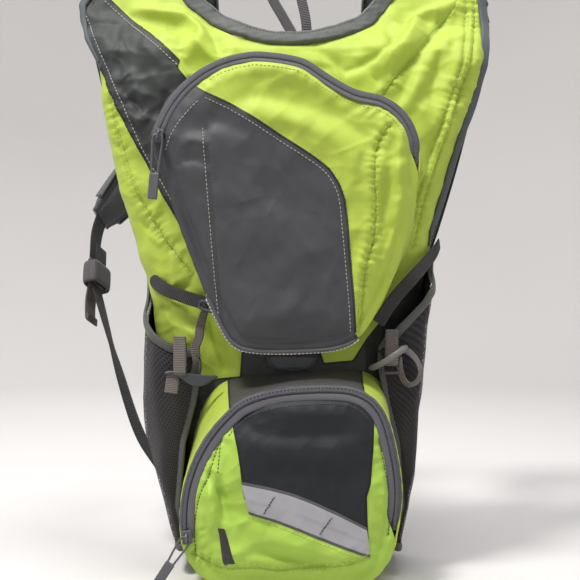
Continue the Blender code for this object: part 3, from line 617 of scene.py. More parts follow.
def knit(name, colour):
    """The soft knitted yarn of the pocket mesh."""
    paint = Paint(name, 0.85, Sheen_Weight=0.12, Sheen_Roughness=0.5, Specular_IOR_Level=0.25)
    axes, coords = paint.cloth()
    tone = paint.mottle(coords, colour, 16, 0.18)
    loops = paint.math("MULTIPLY", paint.wave(axes[0], 0.7), paint.wave(axes[1], 0.5))
    return paint.finish(tone, loops, 0.2, 0.6)


def spacer(name, colour):
    """Three-layer spacer mesh: a close pattern of small round pores."""
    paint = Paint(name, 0.9, Sheen_Weight=0.35, Sheen_Roughness=0.6)
    axes, coords = paint.cloth()
    row = paint.math("MULTIPLY", paint.wave(axes[0], 3.6), paint.wave(axes[1], 3.1))
    pore = paint.ramp(row, 0.25, 0.6)
    # The pores are painted near-black: painted shade inside the holes of the mesh.
    tone = paint.mix(pore, paint.mottle(coords, colour, 20, 0.15), tuple(c * 0.25 for c in colour))
    height = paint.math("SUBTRACT", 1.0, pore)
    return paint.finish(tone, height, 0.8, 0.7)


def moulded(name, colour, roughness=0.42):
    """Injection-moulded plastic: fine grain, and a faint scuffing."""
    paint = Paint(name, roughness, Specular_IOR_Level=0.5)
    coords = paint.place()
    tone = paint.mottle(coords, colour, 6, 0.1)
    scuff = paint.ramp(paint.noise(coords, 1.4, 5.0, 0.7), 0.62, 0.75)
    pale = tuple(min(1, c * 2.2 + 0.02) for c in colour)
    tone = paint.mix(paint.math("MULTIPLY", scuff, 0.35), tone, pale)
    return paint.finish(tone, paint.noise(coords, 0.5, 2.0), 0.05, 0.35)


def film(name, colour):
    """Clear, slightly tinted bag film with a pressed diamond pattern."""
    paint = Paint(name, 0.16, Transmission_Weight=0.55, IOR=1.4, Alpha=0.9)
    axes, coords = paint.cloth()
    diamonds = paint.math("MULTIPLY", paint.wave(paint.math("ADD", axes[0], axes[1]), 5.0),
                          paint.wave(paint.math("SUBTRACT", axes[0], axes[1]), 5.0))
    return paint.finish(paint.mottle(coords, colour, 30, 0.06), diamonds, 0.1, 0.4)


def thread(name, colour):
    """Twisted sewing thread."""
    paint = Paint(name, 0.6, Sheen_Weight=0.3)
    axes, coords = paint.cloth()
    twist = paint.wave(paint.math("ADD", axes[0], axes[1]), 0.6)
    deep = tuple(c * 0.7 for c in colour)
    tone = paint.mix(paint.ramp(paint.noise(coords, 1.5), 0.35, 0.65), deep, colour)
    return paint.finish(tone, twist, 0.1, 0.5)


def reflective(name):
    """Glass-bead film: pale, with a fine hex grain and worn creases."""
    paint = Paint(name, 0.38, Metallic=0.25, Sheen_Weight=0.2)
    axes, coords = paint.cloth()
    grain = paint.math("MULTIPLY", paint.wave(axes[0], 1.6), paint.wave(axes[1], 1.6))
    tone = paint.mottle(coords, REFLECTIVE, 12, 0.06)
    tone = paint.mix(paint.ramp(grain, 0.5, 0.9), tone, tuple(c * 0.86 for c in REFLECTIVE))
    crease = paint.ramp(paint.noise(coords, 5.0, 4.0, 0.7), 0.66, 0.72)
    tone = paint.mix(paint.math("MULTIPLY", crease, 0.4), tone, (0.25, 0.25, 0.27))
    return paint.finish(tone, grain, 0.06, 0.4)


SHELL_CLOTH = pieced("shell_nylon", GREY)
TOP_CLOTH = pieced("top_pocket_nylon", (0.050, 0.051, 0.056))
LOWER_CLOTH = pieced("lower_pocket_nylon", DARK_PANEL, (0.345, 0.52, 0.070))
GUSSET_CLOTH = pieced("gusset_nylon", (0.047, 0.043, 0.043))
LINING = plain_cloth("lining", (0.035, 0.036, 0.040), 0.7)
# Near-black cloth for the sheet behind the mesh pockets: painted shade seen through the mesh holes.
POCKET_SHADE_CLOTH = plain_cloth("painted_pocket_shade", (0.012, 0.012, 0.013), 0.8, sheen=0.0)
TAG_CLOTH = plain_cloth("tag_cloth", (0.014, 0.015, 0.016), 0.5, 0.8)
GREY_CLOTH = plain_cloth("grey_cloth", GREY)
BINDING_CLOTH = plain_cloth("binding_cloth", BINDING, 0.65, 1.2, 0.2, 0.15)
PIPING_CLOTH = plain_cloth("piping_cloth", (0.075, 0.073, 0.077), 0.7)
WING_BINDING_CLOTH = plain_cloth("wing_binding_cloth", WING_FACING, 0.65, 1.2, 0.2, 0.12)
ZIP_TAPE = ribbed("zip_tape_cloth", TAPE, 1.5, 0.62, 0.22, 0.2)
ZIP_SMOOTH = plain_cloth("zip_smooth_cloth", TAPE, 0.5, 0.8, 0.1, 0.3)
WEBBING = ribbed("taupe_webbing", TAUPE, 1.5)
KEEPER_WEBBING = ribbed("keeper_webbing", (0.085, 0.075, 0.080), 1.1, 0.6, 0.2, 0.15)
STRAP_WEBBING = ribbed("dark_webbing", DARK_WEBBING, 1.6, 0.72, 0.75)
RIBBED_GREY = ribbed("grey_webbing", (0.14, 0.135, 0.14), 1.6, 0.7, 0.55)
MESH_CLOTH = knit("pocket_mesh_knit", MESH)
SPACER = spacer("spacer_mesh", (0.045, 0.046, 0.050))
STRAP_FABRIC = plain_cloth("strap_face_cloth", (0.06, 0.062, 0.068), 0.75, 1.4)
REFLECTIVE_FILM = reflective("reflective_film")
LIGHT_THREAD = thread("light_thread", THREAD)
PALE_THREAD = thread("pale_thread", (0.72, 0.70, 0.66))
LIME_STITCH = thread("lime_thread", LIME_THREAD)
DARK_STITCH = thread("dark_thread", DARK_THREAD)
GREY_STITCH = thread("grey_thread", (0.06, 0.06, 0.065))
SLATE_PLASTIC = moulded("slate_plastic", SLATE)
TAUPE_PLASTIC = moulded("taupe_plastic", (0.15, 0.138, 0.13), 0.5)
PULL_PLASTIC = moulded("pull_plastic", (0.085, 0.088, 0.096), 0.5)
BLUE_PLASTIC = moulded("blue_plastic", (0.02, 0.13, 0.38), 0.35)
BAG_FILM = film("bag_film", (0.55, 0.76, 0.86))

# ------------------------------------------------------------------ the main compartment


def column_angles(count):
    """Angles round the shell's section that are evenly spaced along its cloth."""
    s = np.linspace(-1, 1, 20001)
    angle = math.pi / 2 * (1 + np.sign(s) * np.abs(s) ** 3)
    cos, sin = np.cos(angle), np.clip(np.sin(angle), 0, 1)
    run = lengths(np.stack([-np.sign(cos) * np.abs(cos) ** ROUNDNESS * 150, -63 * sin**ROUNDNESS], 1))
    return np.interp(np.linspace(0, run[-1], count), run, angle)


def shell_at(angle, z):
    """x and y of the main compartment's section at a height: a rounded box, open at the back."""
    cos = np.cos(angle)
    wide = np.where(cos < 0, table(HALF_WIDTH["right"], z), table(HALF_WIDTH["left"], z))
    x = -np.sign(cos) * np.abs(cos) ** ROUNDNESS * wide
    y = BACK_Y - table(DEPTH, z) * np.clip(np.sin(angle), 0, 1) ** ROUNDNESS
    return x, y


def shell_grid(cols, rows):
    """The outer face of the main compartment as (rows, cols, 3)."""
    angle = column_angles(cols)
    high = np.full(cols, 500.0)
    for _ in range(12):
        x, _y = shell_at(angle, high)
        high = 0.5 * high + 0.5 * table(SHELL_TOP, np.abs(x))
    v = np.linspace(0, 1, rows)[:, None]
    z = SHELL_LOW + v * (high[None] - SHELL_LOW)
    x, y = shell_at(np.broadcast_to(angle, z.shape), z)
    return np.stack([x, y, z], -1)


def front_y(x, z):
    """The y of the main compartment's face straight in front of a point."""
    wide = np.where(np.asarray(x) < 0, table(HALF_WIDTH["left"], z), table(HALF_WIDTH["right"], z))
    share = np.clip(np.abs(x) / wide, 0, 0.9995)
    sin = np.sqrt(1 - share ** (2 / ROUNDNESS))
    return BACK_Y - table(DEPTH, z) * sin**ROUNDNESS


# Past this distance from the middle, the lower shell is painted black: partly dark cloth, partly painted
# shade of the gaps behind the mesh pockets.
DARK_BESIDE_X = 66
WING_PANEL = [(-166, 517), (-132, 484), (-97, 451), (-99, 444), (-90, 433), (-79, 422), (-60, 400),
              (-70, 330), (-88, 287), (-99, 307), (-115, 336), (-130, 364), (-148, 398), (-161, 426),
              (-172, 447), (-180, 456), (-215, 462), (-215, 545), (-190, 545)]
WING_FACING_PANEL = [(-203, 545), (-195, 512), (-186, 492), (-176, 470), (-168, 453), (-175, 448),
                     (-190, 450), (-225, 466), (-225, 545)]
LOWER_GREY = [(170, 312), (139, 295), (110, 262), (84, 226), (68, 206), (55, 186), (30, 184), (24, 202),
              (-42, 202), (-44, 172), (-82, 168), (-100, 182), (-125, 203), (-170, 225), (-170, -20),
              (170, -20)]
SLIVER_SEAM = [(-160, 418), (-150, 372), (-138, 339), (-124, 314), (-110, 292), (-85, 261)]
WING_SEAM = [(172, 530), (169, 486), (154, 430), (142, 399), (130, 363), (121, 336), (115, 314), (108, 285)]
WING_SEAM_INNER = [(164, 530), (161, 486), (146, 428), (134, 396), (122, 360), (113, 333), (107, 311)]
WING_STITCHES = [
    [(-172, 516), (-136, 481), (-99, 446)],
    [(-84, 419), (-90, 430)],
    [(-198, 524), (-181, 484), (-163, 444), (-146, 407), (-130, 371), (-114, 344), (-103, 324), (-93, 302)],
]
YOKE_SEAM = [(160, 530), (150, 506), (126, 477), (102, 447), (90, 431), (78, 414)]
SHELL_FOLDS = [
    ([(-150, 506), (-120, 502), (-96, 494), (-81, 481), (-83, 466), (-96, 452)], 5.8, 9.0),
    ([(-76, 486), (-66, 472), (-62, 454)], 6.0, -7.5),
    ([(-140, 496), (-114, 490), (-97, 477), (-98, 462)], 6, -4.0),
    ([(-88, 470), (-74, 456), (-62, 450)], 4, 3.0),
    ([(-110, 470), (-98, 459), (-88, 455)], 4, -2.6),
    ([(165, 522), (138, 506), (117, 495), (106, 472), (82, 452), (50, 432)], 6.5, 10.0),
    ([(142, 492), (128, 474), (112, 456), (90, 436)], 6, -6.5),
    ([(84, 486), (92, 468), (72, 448), (42, 438)], 6, -5.5),
    ([(60, 470), (76, 458), (88, 462)], 5, 3.0),
    ([(118, 446), (110, 426), (98, 404)], 6, 5.0),
    ([(140, 470), (128, 436), (116, 408)], 8, -5.0),
    ([(152, 470), (146, 446), (138, 424)], 5, 3.0),
    ([(22, 466), (36, 451), (52, 437)], 4, -3.6),
    ([(8, 458), (20, 450), (44, 446)], 5, 2.6),
    ([(66, 446), (76, 434), (92, 428)], 4, -2.8),
    ([(-50, 468), (-30, 456), (0, 452)], 6, 2.2),
    ([(150, 420), (140, 394), (126, 372)], 5, 3.4),
    ([(136, 400), (126, 380), (118, 352)], 4, -2.6),
    ([(160, 452), (152, 424), (142, 396)], 4, -2.4),
    ([(-158, 404), (-144, 396), (-130, 376)], 4, -3.4),
    ([(-150, 345), (-136, 330), (-118, 320)], 5, -3.0),
    ([(-160, 380), (-150, 372), (-140, 376)], 3, -2.4),
    ([(-162, 440), (-151, 434), (-142, 440), (-138, 432)], 3.5, 3.2),
    ([(-158, 428), (-146, 418), (-136, 424), (-128, 414)], 4, 3.4),
    ([(-148, 424), (-138, 414), (-130, 404)], 3, -3.0),
    ([(-146, 404), (-132, 396), (-122, 402)], 4, 3.0),
    ([(-168, 486), (-150, 470), (-132, 462)], 7, -2.4),
    ([(-136, 470), (-120, 456), (-112, 440)], 6, 2.6),
    ([(-112, 424), (-106, 404), (-96, 388)], 5, -2.8),
    ([(-126, 380), (-114, 366), (-108, 350)], 4, 2.4),
    ([(-136, 262), (-112, 246), (-82, 226)], 4.5, -3.6),
    ([(-84, 262), (-104, 240), (-122, 222)], 4.5, -3.4),
    ([(-118, 246), (-104, 234), (-92, 238)], 9, 3.0),
    ([(-112, 222), (-96, 206), (-80, 200)], 6, 1.6),
    ([(-72, 232), (-66, 205), (-56, 176)], 3.5, -3.4),
    ([(-60, 222), (-54, 204), (-48, 180)], 4, 2.6),
    ([(-128, 300), (-112, 290), (-98, 296)], 5, 2.6),
    ([(-140, 312), (-124, 300), (-104, 286)], 4, -2.4),
]


def main_shell():
    """The main compartment's folded and seamed cloth and its lining. Returns the cloth's surface."""
    grid = shell_grid(300, 300)
    rows, cols, _ = grid.shape
    normals = evened(grid_normals(grid))
    if normals[rows // 2, cols // 2, 1] > 0:
        normals = -normals
    flat = grid[:, :, [0, 2]].reshape(-1, 2)
    x, z = flat[:, 0], flat[:, 1]
    into_wing, into_lower = inside_by(flat, WING_PANEL), inside_by(flat, LOWER_GREY)
    grey = np.maximum(into_wing, into_lower)
    # Dark layer: black beside the pockets, partly dark cloth and partly painted shade of the gaps there.
    dark = np.minimum(into_lower, np.abs(x) - DARK_BESIDE_X)
    frontal = np.clip(-normals[:, :, 1].ravel(), 0, 1) ** 0.5
    out = relief(flat, SHELL_FOLDS, [(SLIVER_SEAM, 1.2), (WING_SEAM, 1.3), (WING_SEAM_INNER, 1.1),
                                     (YOKE_SEAM, 1.0)])
    wing = np.clip((z - 300) / 80, 0, 1)
    out += 1.2 * ripple(x, z, 46, 3) + 0.45 * ripple(x, z, 17, 4) + wing * 1.2 * ripple(x, z, 70, 5)
    out += 1.3 * crinkle(x, z, 62, 6) + 0.7 * crinkle(x, z, 34, 8)
    out += np.where(into_wing > 0, np.exp(-into_wing / 9), -0.4 * np.exp(into_wing / 2.5))
    below_top = (grid[-1:, :, 2] - grid[:, :, 2]).ravel()
    out *= frontal * np.clip((z - 4) / 30, 0, 1) * np.clip(below_top / 26, 0.05, 1)
    out = np.maximum(out, -1.0 - np.clip((506 - z) / 5, 0, 9))
    points = grid.reshape(-1, 3) + normals.reshape(-1, 3) * out[:, None]
    faces = grid_faces(rows, cols)
    cloth = np.stack([x, z, points[:, 1]], 1)
    facing = inside_by(flat, WING_FACING_PANEL)
    piece = make("main_shell_cloth", (points, faces, cloth), SHELL_CLOTH,
                 grey=grey, dark=dark, facing=facing)
    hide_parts("main_shell")
    deepest = out.reshape(rows, cols)
    for axis in (0, 1):
        for step in (1, 2, 2):
            beside = np.minimum(np.roll(deepest, step, axis), np.roll(deepest, -step, axis))
            deepest = np.minimum(deepest, beside)
    inner = (grid + normals * (deepest - 2.8)[:, :, None])[::2, ::2]
    lining = inner.reshape(-1, 3)
    inner_faces = grid_faces(*inner.shape[:2])
    piece = make("main_shell_lining", (lining, inner_faces, lining[:, [0, 2, 1]]), LINING)
    return Surface(points, faces)


# ------------------------------------------------------------------ zipped pockets


def plain_layers(count):
    """The layers of pieced cloth that a pocket has no use for."""
    return {"dark": np.full(count, -9.0), "facing": np.full(count, -9.0)}


def offset_loop(loop, distance):
    """The loop moved inwards by a distance, or by one distance for each point."""
    moved = loop + inward(loop) * np.reshape(distance, (-1, 1))
    for _ in range(3):
        moved = 0.5 * moved + 0.25 * (np.roll(moved, 1, 0) + np.roll(moved, -1, 0))
    return moved


def zip_span(loop, arc, end):
    """The first and last index of the zip on its pocket's outline."""
    (cx, cz), radius, start, _end = arc
    a = math.radians(start - 2)
    from_start = loop[:, 0] - cx - radius * math.cos(a), loop[:, 1] - cz - radius * math.sin(a)
    first = np.argmin(np.hypot(*from_start))
    last = np.argmin(np.hypot(loop[:, 0] - end[0], loop[:, 1] - end[1]))
    return int(first), int(last)


class Pocket:
    """What the pieces of one zipped pocket share: its rim, its zip, its cloth and the fold of its flap."""

    def __init__(self, arc, rest, zip_end, zip_width, rim_y, flap, hinge, cloth):
        self.loop = pocket_outline(arc, rest)
        self.span = zip_span(self.loop, arc, zip_end)
        self.zip_width, self.rim_y = zip_width, rim_y
        self.flap, self.hinge = flap, hinge
        self.cloth = cloth

    def bend(self, piece):
        """Bakes the piece's placement into its mesh."""
        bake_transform(piece)


def pocket_front(name, pocket, centre, heights, folds, seams, grey, rows=64):
    """A pocket's sewn front: rings from the zip or the rim to the middle, domed by distance from the rim."""
    loop, (first, last) = pocket.loop, pocket.span
    count = len(loop)
    index = np.arange(count)
    inside = np.clip(np.minimum((index - first) / 3, (last - index) / 8) + 0.4, 0, 1)
    start = 0.9 + (pocket.zip_width - 1.0) * inside
    outer = offset_loop(loop, start)
    t = np.linspace(0, 1, rows) ** 1.15
    flat = outer[None] * (1 - t[:, None, None]) + np.array(centre) * t[:, None, None]
    flat[-1] = np.array(centre) + (outer - np.array(centre)) * 0.004
    shape = flat.reshape(-1, 2)
    deep = inside_by(shape, loop)
    rise = table(heights, deep)
    out = relief(shape, folds, seams, seed=7)
    into_grey = inside_by(shape, grey)
    out += np.where(into_grey > 0, 0.9 * np.exp(-into_grey / 8), -0.3 * np.exp(into_grey / 2.0))
    x, z = shape[:, 0], shape[:, 1]
    out += (0.9 * ripple(x, z, 52, 11) + 0.3 * ripple(x, z, 16, 12)) * np.clip(deep / 22, 0.1, 1)
    taut = np.where(into_grey > 0, 0.35, 1.0)
    out += taut * (1.2 * crinkle(x, z, 70, 13) + 0.6 * crinkle(x, z, 36, 14)) * np.clip(deep / 22, 0.1, 1)
    run = np.tile(index * OUTLINE_STEP, rows)
    gathers = np.sin(run / 2.1 + 1.7 * np.sin(run / 13)) * (0.7 + 0.3 * np.sin(run / 29))
    out += 0.6 * gathers * taut * np.exp(-((deep - pocket.zip_width - 6) / 5.5) ** 2)
    points = np.column_stack([x, pocket.rim_y - rise - out * np.clip(deep / 6, 0.15, 1), z])
    faces = grid_faces(rows, count, close_cols=True)
    faces.append(last_cap(rows, count))
    cloth = np.column_stack([x, z, points[:, 1]])
    piece = make(name, (points, faces, cloth), pocket.cloth, None, grey=into_grey, **plain_layers(len(x)))
    pocket.bend(piece)
    return piece, Surface(points, faces)


def gusset(name, pocket, flare, grey, back_y=-22.0, rows=34):
    """A pocket's side wall from the main compartment to its rim. flare widens it at the back.

    The last part of the wall, past 1 / 1.12 of its rows, rolls in over the rim.
    """
    loop, rim_y = pocket.loop, pocket.rim_y
    count = len(loop)
    back = np.clip(front_y(loop[:, 0], loop[:, 1]) + 2.0, back_y, 20.0)
    shapes = []
    for i in range(rows):
        t = i / (rows - 1)
        rise = min(1, t * 1.12)
        tuck = 1.6 * max(0, t * 1.12 - 1) / 0.12
        ring = offset_loop(loop, -flare * (1 - rise) ** 1.3 + tuck + 0.9 * math.sin(math.pi * rise) * 0.5)
        y = back + (rim_y - back) * rise - 0.8 * math.sin(min(1, tuck / 1.6) * 3.14)
        shapes.append(np.column_stack([ring[:, 0], y, ring[:, 1]]))
    grid = np.stack(shapes)
    normals = grid_normals(grid, close_cols=True)
    centre = loop.mean(0)
    if ((grid[5, 0, [0, 2]] - centre) @ normals[5, 0, [0, 2]]) < 0:
        normals = -normals
    run = np.broadcast_to(lengths(np.vstack([loop, loop[:1]]))[:-1], grid.shape[:2]).ravel()
    depth = grid[:, :, 1].ravel()
    gathers = np.sin(run / 2.1 + 2 * np.sin(run / 23)) * np.exp(-(depth - rim_y) / 5.0)
    wave = ripple(run, depth, 40, 21) + 0.6 * gathers
    middle = np.clip(1 - np.abs((depth - rim_y) / (back_y - rim_y) - 0.5) * 2, 0, 1)
    points = grid.reshape(-1, 3) + normals.reshape(-1, 3) * (wave * (0.25 + 0.75 * middle))[:, None]
    points[:, 2] = np.maximum(points[:, 2], 0.6)
    into = inside_by(points[:, [0, 2]], grey)
    faces = grid_faces(rows, count, close_cols=True)
    cloth = np.column_stack([run, depth, points[:, 2]])
    piece = make(name, (points, faces, cloth), GUSSET_CLOTH, grey=into, **plain_layers(len(into)))
    return piece


def loop_part(loop, first, last, distance, step=0.8):
    """An evenly spaced stretch of a loop moved inwards."""
    moved = offset_loop(loop, distance)
    if last < first:
        moved, last = np.vstack([moved, moved]), last + len(loop)
    return resample(moved[first:last + 1], step)


def zip_tape(name, pocket, inset, width, material, on_flap=False, tilt=0.0, rise=0.6):
    """One half of a zip's tape along the rim. The half on the flap rides on no body."""
    flat = loop_part(pocket.loop, *pocket.span, inset)
    sunk = 2.4 * np.clip(1 - np.arange(len(flat))[::-1] / 24, 0, 1)
    path = np.column_stack([flat[:, 0], pocket.rim_y - rise + sunk, flat[:, 1]])
    along = unit(np.gradient(flat, axis=0))
    outward = np.column_stack([-along[:, 1], np.zeros(len(flat)), along[:, 0]])
    normals = unit(np.array((0, -1, 0)) + outward * tilt)
    narrow = np.clip(np.minimum(np.arange(len(flat)), np.arange(len(flat))[::-1]) / 10, 0.7, 1)
    shape = sweep(path, normals, band(width, 1.3, 0.4, 11), scale=narrow)
    piece = make(name, shape, material, None if on_flap else "pack")
    if on_flap:
        pocket.bend(piece)
    return piece, path, normals


def coil(name, pocket, inset, on_flap=False, pitch=1.25):
    """Half of the zip's coil: a row of small teeth along the middle of the band."""
    flat = loop_part(pocket.loop, *pocket.span, inset, pitch)
    side, rim_y = -1 if on_flap else 1, pocket.rim_y
    along = unit(np.gradient(flat, axis=0))
    shapes = []
    for p, n in zip(flat, np.column_stack([along[:, 1], -along[:, 0]])):
        tip, heel = p + n * 0.9 * side, p - n * 0.9 * side
        line = [(heel[0], rim_y + 0.7, heel[1]), (p[0], rim_y + 0.1, p[1]), (tip[0], rim_y + 0.4, tip[1])]
        shapes.append(sweep(line, (0, -1, 0), round_profile(0.42, 5)))
    piece = make(name, merged(shapes), PULL_PLASTIC, None if on_flap else "pack")
    if on_flap:
        pocket.bend(piece)


def front_stitches(name, pocket, surface, lines, material, **kind):
    """Rows of stitching laid on a pocket front."""
    shapes = []
    for seed, (line, offset) in enumerate(lines):
        points, normals = surface.drape(line, offset=offset, lift=0.05)
        if len(points) > 8:
            shapes.append(stitch_row(points, normals, seed=seed, **kind))
    pocket.bend(make(name, merged(shapes), material, None))


TOP = Pocket(TOP_ARC, TOP_REST, TOP_ZIP_END, TOP_ZIP_WIDTH, TOP_RIM_Y, "top_flap", (346, 358), TOP_CLOTH)
LOWER = Pocket(LOWER_ARC, LOWER_REST, LOWER_ZIP_END, LOWER_ZIP_WIDTH, LOWER_RIM_Y, "lower_flap", (21, 33),
               LOWER_CLOTH)

TOP_GREY = [(-71, 413), (-48, 402), (-24, 387), (-1, 372), (20, 358.5), (33, 348), (41, 335.5), (46, 322),
            (48, 306), (49, 294), (51, 269), (54, 235), (56, 209), (56, 190), (-60, 180), (-130, 230),
            (-150, 380), (-110, 440)]
TOP_GREY_EDGE = [(-69, 412), (-48, 402), (-24, 387), (-1, 372), (20, 358.5), (33, 348), (42, 334),
                 (46, 320), (48, 300), (51, 269), (54, 235), (55.5, 212)]
TOP_LIME_SEAM = [(84, 386), (74, 370), (70, 344), (71, 320), (69, 289), (63, 269), (60, 243), (58, 218),
                 (56, 208)]
TOP_PANEL_SEAM = [(-70, 383), (-66, 330), (-62, 280), (-59, 243), (-56, 215)]
TOP_HEM = ((57, 207), (-70, 242))
GARAGE_STITCHES = [(-104, 364), (-99.5, 376), (-92, 388), (-82.5, 399), (-76, 405)]
TOP_FOLDS = [
    ([(-52, 406), (-20, 410), (20, 400), (60, 380), (90, 350)], 13, -8.0),
    ([(-66, 424), (-20, 433), (18, 421), (50, 400)], 7, 3.0),
    ([(-40, 390), (0, 388), (40, 366), (60, 338)], 9, 3.6),
    ([(96, 388), (92, 368), (90, 340)], 6, 4.4),
    ([(88, 356), (92, 330), (84, 300)], 6, 5.2),
    ([(80, 350), (78, 320), (76, 290)], 5, -4.2),
    ([(97, 332), (89, 300), (75, 262)], 5, 3.2),
    ([(70, 372), (60, 352), (58, 330)], 7, -2.6),
    ([(62, 300), (58, 270), (56, 236)], 5, 2.2),
    ([(-84, 374), (-60, 387), (-34, 376)], 9, -3.4),
    ([(-96, 352), (-80, 356), (-66, 349)], 5, -2.8),
    ([(-92, 366), (-80, 372), (-68, 366)], 4, 2.2),
    ([(-30, 340), (0, 318), (30, 312)], 14, -2.4),
    ([(-40, 300), (-5, 290), (35, 276)], 16, 2.2),
    ([(-45, 260), (-10, 250), (30, 246)], 12, -2.0),
    ([(-30, 226), (0, 214), (36, 214)], 9, -3.0),
    ([(-50, 222), (-10, 224), (30, 232)], 7, 2.4),
    ([(-62, 330), (-40, 322), (-20, 330)], 8, 1.8),
    ([(-96, 330), (-84, 300), (-70, 262)], 6, -2.4),
    ([(-20, 205), (0, 232), (16, 256)], 8, 2.0),
    ([(-84, 320), (-74, 296), (-66, 268)], 4, 1.8),
]


def top_pocket():
    """The upper zipped pocket: side wall, front, zip, stitching and the piping of its hem."""
    x, z = TOP.loop[:, 0], TOP.loop[:, 1]
    upper_left = np.clip(np.exp(-((x + 100) / 26) ** 2 - ((z - 415) / 40) ** 2), 0, 1)
    right = np.clip(np.exp(-((x - 95) / 34) ** 2 - ((z - 300) / 60) ** 2), 0, 1)
    flare = 2.5 + 8 * upper_left + 5 * right
    taupe = [(-140, 180), (-66, 180), (-74, 300), (-80, 380), (-84, 436), (-90, 445), (-140, 445)]
    wall = gusset("top_gusset_cloth", TOP, flare, taupe)
    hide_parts("top_pocket_gusset")

    heights = [(0, 0.4), (2, 1.6), (6, 2.2), (9.6, 1.4), (13, 4.4), (20, 7.8), (32, 10.4), (48, 12.0),
               (90, 13.0)]
    seams = [(TOP_LIME_SEAM, 1.4), (TOP_PANEL_SEAM, 0.2)]
    front, surface = pocket_front("top_front_cloth", TOP, (-8, 322), heights, TOP_FOLDS, seams, TOP_GREY)
    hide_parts("top_pocket_front", "top_pocket_flap")

    outer = zip_tape("top_zip_tape_outer", TOP, 3.4, 6.4, ZIP_TAPE, tilt=0.3, rise=0.9)[0]
    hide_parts("top_zip_tape")
    inner = zip_tape("top_zip_tape_inner", TOP, 8.0, 4.6, ZIP_SMOOTH, True, tilt=0.1, rise=1.1)[0]
    coil("top_zip_coil_outer", TOP, 4.7)
    coil("top_zip_coil_inner", TOP, 5.8, on_flap=True)

    front_stitches("top_front_light_stitches", TOP, surface,
                   [(TOP_GREY_EDGE, -5.0), (TOP_PANEL_SEAM, -2.6), (GARAGE_STITCHES, 0)], LIGHT_THREAD)
    front_stitches("top_front_dark_stitches", TOP, surface, [(TOP_PANEL_SEAM, 0.4), (TOP_GREY_EDGE, -0.6)],
                   DARK_STITCH, length=2.2, gap=0.5)
    rim = loop_part(TOP.loop, TOP.span[0] + 8, TOP.span[1] - 10, 13.0, 4.0)
    rim = rim[rim[:, 0] > -68]
    front_stitches("top_front_lime_stitches", TOP, surface,
                   [(TOP_LIME_SEAM, 1.8), (TOP_LIME_SEAM, -1.8), (rim, 0)], LIME_STITCH, radius=0.34)
    hem_first = int(np.argmin(np.hypot(x - TOP_HEM[0][0], z - TOP_HEM[0][1])))
    hem_last = int(np.argmin(np.hypot(x - TOP_HEM[1][0], z - TOP_HEM[1][1])))
    flat = loop_part(TOP.loop, hem_first, hem_last, 0.4)
    path = np.column_stack([flat[:, 0], np.full(len(flat), TOP_RIM_Y - 1.6), flat[:, 1]])
    normals = path - np.array((-5, 0, 300))
    normals[:, 1] = -60
    normals = unit(normals)
    narrow = np.clip(np.minimum(np.arange(len(path)), np.arange(len(path))[::-1]) / 10, 0.2, 1)
    shape = sweep(path, normals, round_profile(2.3, 12, 0.8), scale=narrow)
    hem = make("top_front_piping", shape, PIPING_CLOTH)
    row = stitch_row(path + normals * 1.6, normals, 2.8, 0.35, 0.62, 0.3, seed=4)
    make("top_front_hem_stitches", row, PALE_THREAD)


LOWER_GREY_PANEL = [(-56, 180), (-49.4, 145.5), (-43, 119), (-40.5, 104), (-39, 90), (-37, 78), (0, 69),
                    (32, 56), (64, 42), (63, 60), (62.4, 80), (65.6, 90.5), (68, 120), (69, 144), (76, 180)]
STRIPE_TOP = [(-39, 90), (0, 81.5), (32, 68), (62.5, 52.5)]
STRIPE_LOW = [(-34, 68), (0, 58), (32, 45), (65, 32)]
STRIPE_TACKS = (((-13, 80), (-21, 67)), ((33, 63), (24, 50)))
LOWER_SEAMS = {
    "left_long": [(-56, 134), (-58.5, 120), (-62, 110), (-67, 94), (-72, 84), (-75.5, 72), (-78, 52),
                  (-77, 30)],
    "left_short": [(-56, 132), (-58.7, 98)],
    "bottom": [(-81, 33), (-54, 22), (-28, 23), (-8, 20), (7, 22), (43, 25), (65, 31)],
    "corner": [(64.6, 31), (68, 26), (69.7, 21)],
    "right": [(72.5, 126), (79.5, 89), (81.8, 68), (80.2, 47)],
}
LOWER_FOLDS = [
    ([(-66, 90), (-63, 70), (-62, 50)], 4, 6.0),
    ([(-60, 98), (-56, 78), (-54, 58)], 3.4, -5.0),
    ([(-68, 100), (-61, 86), (-53, 74)], 3, -3.4),
    ([(-50, 70), (-30, 62), (-8, 54)], 5, -2.4),
    ([(-52, 84), (-46, 60), (-44, 34)], 9, -2.2),
    ([(-70, 60), (-62, 44), (-56, 30)], 6, -1.6),
    ([(-30, 152), (10, 150), (50, 148)], 9, 2.0),
    ([(-44, 140), (-6, 130), (60, 134)], 9, -3.2),
    ([(-42, 122), (10, 112), (66, 112)], 8, 3.0),
    ([(-30, 98), (10, 98), (60, 90)], 8, -1.4),
    ([(-20, 48), (10, 38), (50, 30)], 8, 4.2),
    ([(-40, 36), (0, 30), (40, 20)], 5, -4.0),
    ([(-62, 40), (-46, 34), (-30, 38)], 5, 2.6),
    ([(74, 120), (78, 96), (76, 66)], 6, 2.0),
    ([(-20, 16), (20, 13), (54, 14)], 5, 1.5),
]


